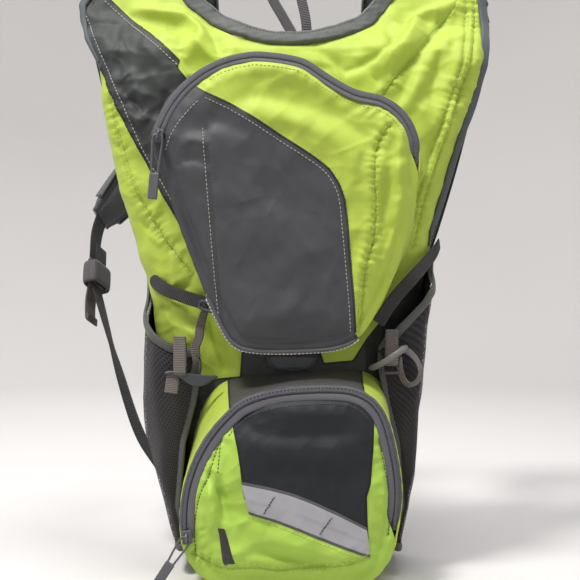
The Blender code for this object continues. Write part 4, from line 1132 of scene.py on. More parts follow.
def lower_pocket():
    """The lower zipped pocket: side wall, front, zip, stitching, reflective band and tag."""
    x, z = LOWER.loop[:, 0], LOWER.loop[:, 1]
    upper_left = np.exp(-((x + 60) / 30) ** 2 - ((z - 148) / 34) ** 2)
    upper_right = np.exp(-((x - 68) / 26) ** 2 - ((z - 158) / 26) ** 2)
    flare = 3.5 + 15 * upper_left + 7 * upper_right + 3.5 * np.exp(-((z - 170) / 16) ** 2)
    grey = [(-63, 200), (-52, 156), (-50, 150), (56, 150), (62, 166), (66, 200)]
    wall = gusset("lower_gusset_cloth", LOWER, flare, grey)
    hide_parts("lower_pocket_gusset")

    heights = [(0, 0.4), (2, 1.4), (6, 2.0), (12.5, 1.4), (16, 4.2), (24, 8.0), (34, 10.0), (50, 11.0),
               (90, 11.5)]
    seams = [(LOWER_SEAMS["left_long"], 0.9), (LOWER_SEAMS["bottom"], 1.0), (LOWER_SEAMS["right"], 0.9)]
    front, surface = pocket_front("lower_front_cloth", LOWER, (2, 84), heights, LOWER_FOLDS, seams,
                                  LOWER_GREY_PANEL)
    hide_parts("lower_pocket_toe", "lower_pocket_flap")

    outer, path, normals = zip_tape("lower_zip_tape_outer", LOWER, 3.5, 6.6, ZIP_TAPE, tilt=0.5)
    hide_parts("lower_zip_tape")
    row = stitch_row(path + normals * 1.9, normals, 2.2, 1.0, 0.4, 0.2)
    make("lower_zip_outer_stitches", row, DARK_STITCH)
    inner = zip_tape("lower_zip_tape_inner", LOWER, 9.9, 7.0, ZIP_SMOOTH, True, tilt=0.1, rise=1.0)[0]
    coil("lower_zip_coil_outer", LOWER, 5.9)
    coil("lower_zip_coil_inner", LOWER, 7.0, on_flap=True)
    rim = loop_part(LOWER.loop, LOWER.span[0] + 6, LOWER.span[1] - 6, 15.6, 4.0)
    rim = rim[(rim[:, 1] > 128) & (rim[:, 0] < 66)]
    front_stitches("lower_front_dark_stitches", LOWER, surface,
                   [(LOWER_SEAMS["left_long"], 0), (LOWER_SEAMS["left_short"], 0), (LOWER_SEAMS["right"], 0),
                    (rim, 0)], DARK_STITCH, length=2.4, gap=0.8, radius=0.42)
    front_stitches("lower_front_lime_stitches", LOWER, surface,
                   [(LOWER_SEAMS["bottom"], 2.0), (LOWER_SEAMS["bottom"], -2.0), (STRIPE_LOW, -4.5)],
                   LIME_STITCH)
    stripe(surface)
    side_tag(surface)


def side_tag(surface):
    """A small blank satin tag sewn flat on the left of the lower pocket."""
    corners = np.array([(-58.3, 55), (-53, 54.4), (-44.4, 25.6), (-54.2, 23.8)])
    rows, cols = 22, 8
    points = []
    for i in range(rows):
        t = i / (rows - 1)
        left, right = corners[0] * (1 - t) + corners[3] * t, corners[1] * (1 - t) + corners[2] * t
        for j in range(cols):
            x, z = left + (right - left) * j / (cols - 1)
            border = i in (0, rows - 1) or j in (0, cols - 1)
            points.append((x, surface.front(x, z) - (0.1 if border else 0.9 + 0.25 * math.sin(t * 9)), z))
    points = np.array(points)
    piece = make("side_tag", (points, grid_faces(rows, cols), points), TAG_CLOTH, None)
    LOWER.bend(piece)


def stripe(surface):
    """The reflective band across the lower pocket, on a grey tape, with two zigzag tacks."""
    for name, grow, lift, material in (("reflective_band_backing", 2.6, 0.25, PIPING_CLOTH),
                                       ("reflective_band_film", 0.0, 0.75, REFLECTIVE_FILM)):
        top, low = resample(smooth(STRIPE_TOP, 8), 1.5), resample(smooth(STRIPE_LOW, 8), 1.5)
        count = min(len(top), len(low))
        top, low = (resample(p, lengths(p)[-1] / (count - 1))[:count] for p in (top, low))
        away = unit(top - low)
        top, low = top + away * grow, low - away * grow
        rows = 15
        points, cloth = [], []
        for k in range(rows):
            t = k / (rows - 1)
            for i in range(count):
                x, z = low[i] * (1 - t) + top[i] * t
                points.append((x, surface.front(x, z) - lift - (0.5 if 0 < k < rows - 1 else 0), z))
                cloth.append((i * 1.5, t * 20, 0))
        piece = make(name, (np.array(points), grid_faces(rows, count), np.array(cloth)), material, None)
        LOWER.bend(piece)
    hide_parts("reflective_band")
    tacks = []
    for (ax, az), (bx, bz) in STRIPE_TACKS:
        zig = []
        for i in range(13):
            t, side = i / 12, 1.1 * (-1) ** i
            zig.append((ax + (bx - ax) * t + side, az + (bz - az) * t + side * 0.6))
        points, normals = surface.drape(zig, step=0.5, lift=1.45, steps=1)
        tacks.append(sweep(points, normals, round_profile(0.35, 6)))
    LOWER.bend(make("reflective_band_tacks", merged(tacks), GREY_STITCH, None))


# ------------------------------------------------------------------ bindings and seams

NECK_LINE = [(-95, 525), (-90, 515), (-76, 503), (-62, 491), (-45, 481), (-20, 472.5), (0, 471),
             (20, 472.5), (47, 480.5), (66, 491), (79, 505), (88, 517), (92, 526)]


def neck():
    """The folded tape along the neckline, with its stitching near the lower edge."""
    flat = resample(smooth(NECK_LINE, 8), 1.2)
    y = front_y(flat[:, 0], np.maximum(flat[:, 1] - 3, 455)) + 2.6
    y = np.convolve(np.pad(y, 6, mode="edge"), np.ones(13) / 13, "valid")
    path = np.column_stack([flat[:, 0], y, flat[:, 1]])
    lean = np.clip((500 - flat[:, 1]) / 30, 0.12, 0.7)
    normals = np.column_stack([np.zeros(len(flat)), -np.ones(len(flat)), lean])
    verts, faces, cloth = sweep(path, normals, band(16.5, 4.8, 0.5, 17))
    swell = 0.5 * ripple(verts[:, 0], verts[:, 2], 20, 31) + 0.25 * ripple(verts[:, 0], verts[:, 2], 7, 32)
    verts = verts + np.array((0, -1, 0.3)) * swell[:, None]
    piece = make("neck_tape", (verts, faces, cloth), BINDING_CLOTH)
    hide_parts("neck_binding")
    tape = Surface(verts, faces)
    rows = []
    for offset in (-5.8, 5.8):
        points, n = tape.drape(NECK_LINE, offset=offset, lift=0.05)
        rows.append(stitch_row(points, n, 2.2, 1.0, 0.38, 0.2))
    make("neck_tape_stitches", merged(rows), GREY_STITCH)


def shell_stitches(shell):
    """The pale rows round the wing panel, and the lime rows beside the seams of the front."""
    shapes = []
    for seed, line in enumerate(WING_STITCHES):
        points, normals = shell.drape(line, lift=0.1)
        if len(points) > 8:
            shapes.append(stitch_row(points, normals, 2.9, 0.9, 0.45, 0.35, seed=seed))
    make("shell_light_stitches", merged(shapes), LIGHT_THREAD)
    shapes = []
    for seed, (line, offset) in enumerate([(SLIVER_SEAM, 1.6), (SLIVER_SEAM, -1.6), (WING_SEAM, 1.5),
                                           (WING_SEAM, -1.5), (WING_SEAM_INNER, 1.5), (YOKE_SEAM, 1.8),
                                           (YOKE_SEAM, -1.8)]):
        points, normals = shell.drape(line, offset=offset, lift=0.05)
        shapes.append(stitch_row(points, normals, 2.4, 0.9, 0.34, 0.25, seed=seed))
    make("shell_lime_stitches", merged(shapes), LIME_STITCH)


def wing_bindings():
    """The grey tape rolled round the outer edge of each wing."""
    for side, sign, low in (("left", -1, 452), ("right", 1, 286)):
        z = np.arange(526, low, -1.2)
        wide = table(HALF_WIDTH[side], z)
        x = wide - 4.4
        y = front_y(sign * (wide - 5.0), z) - 1.0
        y = np.convolve(np.pad(y, 8, mode="edge"), np.ones(17) / 17, "valid")
        path = np.column_stack([sign * x, y, z])
        normals = np.broadcast_to(np.array((0.42 * sign, -1, 0)), path.shape)
        narrow = np.clip(np.arange(len(z))[::-1] / (60 if side == "left" else 20), 0.15, 1)
        narrow = narrow * np.interp(z, [380, 450], [0.7, 1.0])
        wave = 1 + 0.05 * np.sin(z / 9) + 0.03 * np.sin(z / 3.7)
        shape = sweep(path, normals, band(10.0, 1.7, 0.8, 13), scale=narrow * wave)
        piece = make(f"wing_binding_{side}", shape, WING_BINDING_CLOTH)


# ------------------------------------------------------------------ mesh side pockets

MESH_OUTER = {
    "left": [(22, 3), (60, 9), (90, 15), (117, 19), (150, 20), (187, 17), (215, 12), (235, 8.5), (262, 3)],
    "right": [(22, 1), (60, 1), (80, 1.2), (100, 2.4), (150, 3.6), (190, 3.8), (247, 3.8), (300, 4)],
}
MESH_FRONT_X = [(22, 88), (60, 98), (115, 93), (150, 84), (200, 76)]
MESH_TOP = {
    "left": [(0, 257), (0.2, 246), (0.36, 232), (0.5, 219), (0.66, 206), (0.78, 197), (1, 188)],
    "right": [(0, 284), (0.2, 274), (0.33, 264), (0.5, 254), (0.66, 242), (0.87, 206), (1, 194)],
}
MESH_STOPS_Y = (33.0, 6.0, -33.5, -33.0)
MESH_FLAT = (132.0, 212.0)
MESH_PITCH = 3.7
MESH_HOLE = 1.12


def mesh_at(side, u, v):
    """The pocket mesh from its back edge, u 0, round to the lower pocket, u 1, and up to the mouth, v 1."""
    sign = SIGN[side]
    low = 22 + 4 * u
    z = low + v * (table(MESH_TOP[side], u) - low)
    width = table(HALF_WIDTH["right"], z) + (1 if side == "left" else 0)
    bulge = table(MESH_OUTER[side], z)
    front_x = table(MESH_FRONT_X, z)
    back = 3.3 if side == "right" else np.interp(z, [160, 200, 240, 262], [3.3, 5.2, 7.5, 7.5])
    edges = (width + back, width + bulge, width + bulge * 0.25 - 1.5, front_x)
    stops = [np.stack([x, np.full_like(z, y)], -1) for x, y in zip(edges, MESH_STOPS_Y)]
    span = np.clip(u * 3, 0, 2.999)
    i = span.astype(int)
    t = (span - i)[:, None]
    picks = np.stack(stops)
    rows = np.arange(len(u))
    a, b = picks[np.maximum(i - 1, 0), rows], picks[i, rows]
    c, d = picks[i + 1, rows], picks[np.minimum(i + 2, 3), rows]
    p = catmull_rom(a, b, c, d, t)
    sag = 1.3 * ripple(u * 120, z, 55, 41 if sign < 0 else 43) * np.sin(np.pi * np.clip(u, 0, 1))
    return np.column_stack([sign * (p[:, 0] + sag * 0.6), p[:, 1] - sag * 0.7, z])


def mesh_pocket(side):
    """Knitted mesh with real holes: a ring of faces round every hole, a solid hem at the edges, and a
    near-black sheet behind it that paints the shade seen through the holes.
    """
    wide, tall = MESH_FLAT
    corners, faces, lookup = [], [], {}

    def vertex(a, b):
        key = (round(a, 2), round(b, 2))
        if key not in lookup:
            lookup[key] = len(corners)
            corners.append(key)
        return lookup[key]

    angles = np.radians(np.arange(30, 390, 60))
    reach = MESH_PITCH / math.sqrt(3)
    row, b = 0, reach
    while b < tall - reach:
        a = MESH_PITCH * (0.5 + 0.5 * (row % 2))
        while a < wide - MESH_PITCH * 0.5:
            outer = [vertex(a + reach * math.cos(t), b + reach * math.sin(t)) for t in angles]
            inner = []
            for t in angles:
                inner.append(len(corners))
                corners.append((a + MESH_HOLE * math.cos(t), b + MESH_HOLE * math.sin(t)))
            for k in range(6):
                j = (k + 1) % 6
                faces.append((outer[k], outer[j], inner[j], inner[k]))
            a += MESH_PITCH
        row, b = row + 1, b + MESH_PITCH * math.sqrt(3) / 2
    flat = np.array(corners)
    verts = mesh_at(side, np.clip(flat[:, 0] / wide, 0, 1), np.clip(flat[:, 1] / tall, 0, 1))
    cloth = np.column_stack([flat, np.zeros(len(flat))])
    piece = make(f"mesh_pocket_cloth_{side}", (verts, faces, cloth), MESH_CLOTH)
    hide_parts(f"mesh_pocket_{side}")
    hems = mesh_edges(side)
    # A near-black sheet just inside the mesh: painted shade of the pocket's inside, seen through the holes.
    u, v = np.meshgrid(np.linspace(0, 1, 40), np.linspace(0, 1, 40))
    wall = mesh_at(side, u.ravel(), v.ravel())
    away = level_away(wall, (SIGN[side] * 70, 12, 0))
    wall = wall - away * (1.0 + 1.3 * np.sin(np.pi * u.ravel()))[:, None]
    cloth = np.column_stack([u.ravel() * wide, v.ravel() * tall, np.zeros(u.size)])
    shade_sheet = make(f"mesh_pocket_shade_sheet_{side}", (wall, grid_faces(40, 40), cloth), POCKET_SHADE_CLOTH)


def mesh_edges(side):
    """The binding of a mesh pocket's mouth and the hems of its other three edges."""
    sign = SIGN[side]
    u = np.linspace(0, 1, 90)
    edge = mesh_at(side, u, np.ones(90)) + (0, 0, 1.5)
    edge = resample(edge, 1.2)
    centre = (sign * 70, 10, 0)
    normals = level_away(edge, centre)
    width = 8.5 if side == "left" else 8.0
    swell = 1 + 0.05 * np.sin(np.arange(len(edge)) / 7.0)
    swell *= np.clip(0.25 + np.arange(len(edge))[::-1] / 12, 0.25, 1)
    mouth = make(f"mesh_mouth_binding_{side}", sweep(edge, normals, band(width, 1.7, 1.0, 11), scale=swell),
                 BINDING_CLOTH)
    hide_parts(f"mesh_binding_{side}")
    hems = [mouth]
    v = np.linspace(0, 1, 120)
    for name, share in (("back", 0.0), ("front", 1.0)):
        line = resample(mesh_at(side, np.full(120, share), v), 1.5)
        out = (0.35 * sign, -1, 0) if name == "front" else level_away(line, centre)
        narrow = np.clip(0.3 + np.arange(len(line))[::-1] / 8, 0.3, 1)
        shape = sweep(line, out, band(6.0, 1.2, 0.5, 7), scale=narrow)
        hem = make(f"mesh_{name}_hem_{side}", shape, PIPING_CLOTH)
        hems.append(hem)
    low = resample(mesh_at(side, u, np.zeros(90)), 1.5)
    shape = sweep(low, level_away(low, centre), band(7.0, 1.2, 0.5, 7))
    hem = make(f"mesh_bottom_hem_{side}", shape, PIPING_CLOTH)
    hems.append(hem)
    return hems


# ------------------------------------------------------------------ webbing

COMPRESSION = {
    "left": [(-126, 24, 266), (-124, -4, 259), (-113, -20, 250), (-96, -27, 243), (-80, -33, 238),
             (-68, -40, 236)],
    "right": [(137.5, 20, 290), (128, -10, 280), (110, -34, 262), (95, -38, 246), (84, -40, 232),
              (76, -41, 219)],
}
HOOK_BAR = {"left": (-94, -45, 178), "right": (87, -45, 186)}
HOOK_TOP = {"left": (-94, -47.6, 206), "right": (87, -47.6, 212)}


def webbing(name, path, normals, width, thickness, material, body="pack", pitch=1.6, step=0.4):
    """Woven webbing along a smooth path, with crosswise ribs in its surface."""
    path = np.asarray(path, float)
    line = resample(np.column_stack([path, np.broadcast_to(np.asarray(normals, float), path.shape)]), step)
    half = thickness / 2
    a = np.linspace(-0.5, 0.5, 9)
    edge = np.sqrt(np.clip(1 - (2 * np.abs(a)) ** 6, 0.03, 1)) * half
    profile = np.vstack([np.stack([a * width, edge], 1), np.stack([a[::-1] * width, -edge], 1)[1:-1]])
    return make(name, sweep(line[:, :3], line[:, 3:], profile, ribs=(pitch, 0.2)), material, body)


def compression():
    """The compression webbing of both sides and the short webbing that holds each hook."""
    for side, sign in SIDES:
        path = smooth(COMPRESSION[side], 6)
        tilt = np.array((0.25 * sign, -1, 0.12)) if side == "left" else np.array((0.35, -1, 0.1))
        start = np.array((1.0 * sign, -0.2, 0.1))
        t = np.linspace(0, 1, len(path))[:, None]
        normals = start * (1 - np.clip(t * 2.2, 0, 1)) + tilt * np.clip(t * 2.2, 0, 1)
        piece = webbing(f"compression_webbing_{side}", path, normals, 11.5, 1.5, STRAP_WEBBING)
        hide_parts(f"compression_strap_{side}")
        bar, top = HOOK_BAR[side], HOOK_TOP[side]
        wrap = [(top[0], top[1], top[2] + 2), (top[0], top[1], top[2] - 6),
                (bar[0], bar[1] - 2.9, bar[2] + 8)]
        for angle in range(180, 361, 20):
            turn = math.radians(angle)
            wrap.append((bar[0], bar[1] + 2.9 * math.cos(turn), bar[2] + 2.9 * math.sin(turn)))
        wrap.append((bar[0], bar[1] + 2.9, bar[2] + 9))
        wrap.append((bar[0], bar[1] + 2.4, bar[2] + 24))
        path = smooth(wrap, 3)
        tangent = np.gradient(path, axis=0)
        normals = np.cross(tangent, (1, 0, 0))
        if normals[2, 1] > 0:
            normals = -normals
        normals = unit(normals)
        piece = webbing(f"hook_webbing_{side}", path, normals, 11.0, 1.1, WEBBING, pitch=1.5)
        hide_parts(f"hook_loop_{side}")


HOOK_BLADE = [(-95, 177.5), (-88, 177), (-80, 175.5), (-72, 175), (-64, 174.6), (-61.5, 173), (-66, 170.5),
              (-72, 166.5), (-79, 164.8), (-86, 166.8), (-92, 171), (-96, 174)]
CINCH = [(-72, -40.5, 235), (-74.5, -38, 228), (-77.5, -35, 217.5), (-79, -34.5, 207), (-82, -35, 197.7),
         (-81.5, -36, 186), (-84, -38, 176)]
RIGHT_FINGER = [(99, -49, 199.5), (96, -53, 197.5), (92, -56, 194.8), (87, -56, 191.5), (79, -53, 186),
                (72, -48, 182), (68.5, -43, 180.5)]
RIGHT_LOOP = [(92, -45, 197), (100, -45.5, 195.5), (108, -46.5, 188), (111.5, -48, 178), (108, -49, 169.5),
              (101.5, -49, 167), (96.5, -48, 172), (94, -46.5, 181), (92.5, -45, 190)]


def flat_moulding(name, outline, y, thickness, material, body):
    """A moulded plate with rounded edges, seen square-on from the front."""
    loop = clockwise(resample(smooth(outline, 6, closed=True), 0.8, closed=True))
    rings = [(0.9, -0.5), (0.3, -0.4), (0.0, -0.15), (0.0, 0.15), (0.3, 0.4), (0.9, 0.5)]
    verts, count = [], len(loop)
    for inset, depth in rings:
        ring = loop + inward(loop) * inset
        verts.append(np.column_stack([ring[:, 0], np.full(count, y + depth * thickness), ring[:, 1]]))
    points = np.vstack(verts)
    faces = grid_faces(len(rings), count, close_cols=True)
    faces += end_caps(len(rings), count)
    return make(name, (points, faces, points), material, body)


def hooks():
    """The moulded hooks with their webbing ends, and the thin cinch strap on the left."""
    blade = flat_moulding("hook_blade_left", HOOK_BLADE, -45, 2.8, SLATE_PLASTIC, "hook_left")
    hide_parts("strap_hook_left")
    bar = smooth([(-107, -45, 176.2), (-104, -45, 176.6), (-98, -45, 177), (-90, -45, 175.5)], 4)
    bar = make("hook_bar_left", sweep(bar, (0, -1, 0), round_profile(1.5, 10)), SLATE_PLASTIC, "hook_left")
    tail = smooth([(-100.2, -42.6, 178), (-100.4, -44.5, 171), (-101, -46.5, 165), (-101.6, -47.8, 159.5)], 5)
    tail = webbing("hook_tail_left", tail, (0.1, -1, 0), 11.5, 1.3, WEBBING, "hook_left", pitch=1.5)
    line = resample(smooth(CINCH, 8), 0.5)
    share = np.linspace(0, 1, len(line))
    turn = np.interp(share, [0, 0.35, 0.6, 1], [0.9, 0.2, 0.1, 1.2])
    normals = np.column_stack([np.sin(turn), -np.cos(turn), 0 * turn])
    profile = np.vstack([np.stack([np.linspace(-4, 4, 7), np.full(7, 0.6)], 1),
                         np.stack([np.linspace(4, -4, 7), np.full(7, -0.6)], 1)[1:-1]])
    cinch = make("cinch_webbing_left", sweep(line, normals, profile, ribs=(1.5, 0.16)), WEBBING)
    ring = [(-76, -42, 238), (-66, -44, 234.5), (-67.5, -44.5, 229.5), (-77, -42.5, 232.5)]
    ring = smooth(ring, 5, closed=True)
    shape = sweep(ring, (0, -1, 0), round_profile(1.5, 8), closed=True)
    buckle = make("cinch_buckle_left", shape, SLATE_PLASTIC)

    finger = resample(smooth(RIGHT_FINGER, 8), 0.8)
    tip = np.clip(np.minimum(np.arange(len(finger)), np.arange(len(finger))[::-1]) / 5, 0.3, 1) ** 0.5
    finger = make("hook_finger_right", sweep(finger, (0, -1, 0), round_profile(2.7, 14, 0.55), scale=tip),
                  TAUPE_PLASTIC, "hook_right")
    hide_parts("strap_hook_right")
    frame_ring = smooth([(79, -45, 186), (80, -45, 187.2), (94, -45, 187.2), (95, -45, 186), (95, -46, 178),
                         (93, -46, 176.8), (81, -46, 176.8), (79, -46, 178)], 4, closed=True)
    holder = make("hook_frame_right", sweep(frame_ring, (0, -1, 0), round_profile(1.3, 8), closed=True),
                  SLATE_PLASTIC, "hook_right")
    line = resample(smooth(RIGHT_LOOP, 8), 0.5)
    middle = np.array((102, -47, 181))
    normals = line - middle
    normals[:, 1] = 0
    normals = unit(normals)
    normals = normals + (0, -0.75, 0)
    loop = webbing("hook_loop_tail_right", line, normals, 8.0, 1.3, WEBBING, "hook_right", pitch=1.5)


def badge_rim():
    """The raised border of the blank moulded tab between the pockets."""
    outline = [(-18.4, -28.6, 186.6), (-12.4, -28.6, 179.4), (1.5, -28.6, 179.2), (15.4, -28.6, 179.4),
               (21.4, -28.6, 186.6), (19.2, -28.6, 189.6), (1.5, -28.6, 189.8), (-16.2, -28.6, 189.6)]
    shape = sweep(smooth(outline, 5, closed=True), (0, -1, 0), round_profile(0.9, 8), closed=True)
    ring = make("badge_rim", shape, SLATE_PLASTIC)


def haul_loop():
    """The carry loop behind the neckline."""
    legs = [(3, 45, 487), (3, 45, 489), (-6, 45, 505), (-17, 44, 524), (-26, 43, 546), (-24, 42.5, 560),
            (-14, 42.5, 566), (-3, 43, 560), (5, 44, 544), (11, 45, 522), (15, 45, 503), (16, 45, 489),
            (16, 45, 487)]
    path = smooth(legs, 10)
    piece = webbing("haul_loop_webbing", path, (0, -1, 0), 9.5, 1.7, RIBBED_GREY, "haul")
    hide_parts("haul_loop")


# ------------------------------------------------------------------ shoulder straps


def strap_frame(side, steps=10):
    """Path, outward normals, across directions and widths of a shoulder strap, in even steps."""
    sign = SIGN[side]
    path = np.array(STRAP_PATH[side], float)
    outward = np.array(STRAP_OUTWARD, float)
    along = np.gradient(path, axis=0)
    across = unit(np.cross(along, outward))
    turn = np.where((across[:, 0] > 0) | (np.abs(across[:, 0]) < 0.3), 1, -1)
    across *= turn[:, None]
    line = smooth(path, steps)
    across = smooth(across, steps)
    width = smooth(np.array(STRAP_WIDTH, float)[:, None], steps)[:, 0]
    tangent = unit(np.gradient(line, axis=0))
    across -= tangent * np.sum(across * tangent, axis=1)[:, None]
    across = unit(across)
    normal = np.cross(across, tangent)
    guide = smooth(outward, steps)
    normal *= np.sign(np.sum(normal * guide, axis=1))[:, None]
    mirror = np.array((sign, 1, 1))
    return line * mirror, normal * mirror, across * mirror, width


def pad_profile(thickness, count=44):
    """A padded strap's section, as shares of its width and millimetres of depth."""
    a = np.linspace(0, 2 * math.pi, count, endpoint=False)
    cos, sin = np.cos(a), np.sin(a)
    x = 0.5 * np.sign(cos) * np.abs(cos) ** 0.55
    y = 0.5 * thickness * np.sign(sin) * np.abs(sin) ** 0.75
    return x, y


def shoulder_strap(side, sign):
    """A padded strap with bound edges and a row of webbing tacked along it."""
    line, normal, across, width = strap_frame(side)
    run = lengths(line)
    px, py = pad_profile(12.4)
    end = np.clip((run[-1] - run) / 14, 0.3, 1) ** 0.5
    start = np.clip(run / 50, 0.2, 1)
    channel = np.exp(-((np.abs(px) - 0.36) / 0.05) ** 2) * 1.3
    quilting = 0.5 * np.sin(run / 22.0)[:, None] * np.clip(1 - np.abs(px)[None] * 2.2, 0, 1)
    depth = (py[None] - np.sign(py)[None] * channel[None] + quilting * np.sign(py)[None])
    depth = depth * (end * start)[:, None]
    wide = px[None] * (width * (0.7 + 0.3 * end))[:, None]
    points = line[:, None] + across[:, None] * wide[..., None] + normal[:, None] * depth[..., None]
    rows, cols = len(line), len(px)
    verts = points.reshape(-1, 3)
    faces = grid_faces(rows, cols, close_cols=True)
    faces += end_caps(rows, cols)
    cloth = np.stack([np.broadcast_to(run[:, None], (rows, cols)), wide, depth], -1).reshape(-1, 3)
    piece = make(f"shoulder_strap_pad_{side}", (verts, faces, cloth), SPACER)
    piece.data.materials.append(STRAP_FABRIC)
    outer = np.repeat((py > 0.5)[None], rows, 0).ravel()
    for poly in piece.data.polygons:
        if all(outer[v] for v in poly.vertices):
            poly.material_index = 1
    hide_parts(f"shoulder_strap_{side}")
    for name, share in (("inner", -1), ("outer", 1)):
        bound = slice(6, rows - 4)
        edge = (line + across * (share * (0.5 * width * (0.7 + 0.3 * end)))[:, None])[bound]
        out = (across * share)[bound]
        path = resample(edge, 2.0)
        normals = np.stack([np.interp(lengths(path), lengths(edge), out[:, k]) for k in range(3)], 1)
        tape = sweep(path, normals, band(11, 1.5, 0.9, 9))
        binding = make(f"strap_{name}_binding_{side}", tape, BINDING_CLOTH)
    middle = line + normal * 6.9
    part = slice(14, rows - 6)
    daisy = webbing(f"strap_daisy_{side}", middle[part], normal[part], 19, 1.6, STRAP_WEBBING, step=0.6)
    tacks = []
    for at in range(24, rows - 12, 9):
        centre, t = middle[at] + normal[at] * 1.0, line[at + 1] - line[at]
        t /= np.linalg.norm(t)
        for shift in (-1.2, 1.2):
            row = [centre + t * shift + across[at] * w for w in np.linspace(-8.5, 8.5, 12)]
            tacks.append(stitch_row(row, [normal[at]] * 12, 1.6, 0.5, 0.35, 0.3, seed=at))
    make(f"strap_daisy_tacks_{side}", merged(tacks), LIGHT_THREAD)
    strap_end(side, sign, across[-1])


def strap_end(side, sign, across):
    """The webbing at a strap's lower end: tab, loose tail, keeper, and the run down to the base."""
    lock = np.array((LADDER[side][0] * sign, *LADDER[side][1:]), float)
    down = np.array((-0.05 * sign, -0.48, -0.87))
    down /= np.linalg.norm(down)
    across = across - down * (across @ down)
    across /= np.linalg.norm(across)
    out = np.cross(down, across)
    if out[1] < 0:
        across, out = -across, -out
    bar, top = lock - down * 8, lock - down * 55
    foot = np.array(STRAP_PATH[side][-1], float) * (sign, 1, 1)
    before = np.array(STRAP_PATH[side][-2], float) * (sign, 1, 1)
    root = foot + (before - foot) * 0.55
    wrap = [root, foot * 0.8 + root * 0.2, top + down * 10 + out * 3.0, bar - down * 14 + out * 3.6]
    for angle in range(0, 181, 20):
        turn = math.radians(angle)
        wrap.append(bar + out * 3.6 * math.cos(turn) + down * 3.6 * math.sin(turn))
    wrap += [bar - down * 14 - out * 3.6, bar - down * 20 - out * 3.2]
    path = smooth(wrap, 3)
    tangent = np.gradient(path, axis=0)
    normals = np.cross(tangent, across)
    piece = webbing(f"strap_tab_webbing_{side}", path, normals, 20, 1.1, STRAP_WEBBING)
    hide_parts(f"strap_tab_{side}")
    tail = smooth([lock + out * 3.2 - down * 1.0, lock + out * 3.4 + down * 14, lock + out * 6 + down * 34,
                   lock + out * 5 + down * 54, lock + out * 3.4 + down * 57, lock + out * 3.2 + down * 50], 8)
    normals = np.cross(np.gradient(tail, axis=0), across)
    piece = webbing(f"webbing_tail_cloth_{side}", tail, normals, 19.5, 1.2, WEBBING, f"ladder_{side}")
    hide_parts(f"webbing_tail_{side}")
    ring = []
    for k in range(40):
        turn = 2 * math.pi * k / 40
        ring.append(lock + down * 6 + across * 14.5 * np.sign(math.cos(turn)) * abs(math.cos(turn)) ** 0.4
                    + out * 7.2 * np.sign(math.sin(turn)) * abs(math.sin(turn)) ** 0.4)
    ring = resample(ring, 1.0, closed=True)
    away = unit(ring - (lock + down * 6))
    shape = sweep(ring, away, band(25, 1.4, 0.4, 11), closed=True)
    keeper = make(f"keeper_webbing_{side}", shape, KEEPER_WEBBING, f"ladder_{side}")
    start = lock + down * 19
    run = [start, *[np.array((p[0] * sign, *p[1:]), float) for p in STRAP_RUN[side]]]
    edge_on = np.array((-0.25 * sign, 0.95, 0.15))
    spread = np.array([across, across * 0.6 + edge_on * 0.4, edge_on, edge_on, (0, 0.8, 0.6)], float)
    spread *= np.sign(spread @ edge_on)[:, None]
    path, turn = smooth(run, 10), smooth(spread, 10)
    normals = np.cross(np.gradient(path, axis=0), turn)
    piece = webbing(f"strap_webbing_cloth_{side}", path, normals, 19.5, 1.25, STRAP_WEBBING)
    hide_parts(f"strap_webbing_{side}")


# ------------------------------------------------------------------ back panel


PANEL_Y = BACK_Y + 0.3
PAD_Y = PANEL_Y + 12 + 0.3


def cushion(name, outline, y, thickness, crown, material, rows, step, seams=(), folds=()):
    """A closed, crowned pad: a rounded edge and a swelling face towards the wearer."""
    loop = clockwise(resample(smooth(outline, 6, closed=True), step, closed=True))
    centre = loop.mean(0)
    count = len(loop)
    t = np.concatenate([[0, 0.0], np.linspace(0, 1, rows - 2) ** 1.3])
    flat = loop[None] + (centre - loop)[None] * t[:, None, None]
    flat[-1] = centre + (loop - centre) * 0.01
    shape = flat.reshape(-1, 2)
    deep = np.clip(inside_by(shape, loop), 0, None)
    roll = min(thickness * 0.6, 6)
    share = 1 - np.clip(deep / (roll * 1.5), 0, 1)
    rise = (thickness - roll) + roll * np.sqrt(np.clip(1 - share ** 2, 0, 1))
    rise += crown * (1 - np.exp(-deep / 26))
    rise += relief(shape, folds, seams, seed=5) + 0.5 * ripple(shape[:, 0], shape[:, 1], 42, 51)
    level = np.arange(len(shape)) // count
    rise = np.where(level == 0, 0.3, rise)
    points = np.column_stack([shape[:, 0], y + rise, shape[:, 1]])
    faces = grid_faces(rows, count, close_cols=True)
    faces += end_caps(rows, count)
    cloth = np.column_stack([shape, points[:, 1]])
    piece = make(name, (points, faces, cloth), material)
    return piece, Surface(points, faces), loop


def mirror_loop(half):
    """A closed outline from its right half."""
    return list(half) + [(-x, z) for x, z in reversed(half) if x > 0.1]


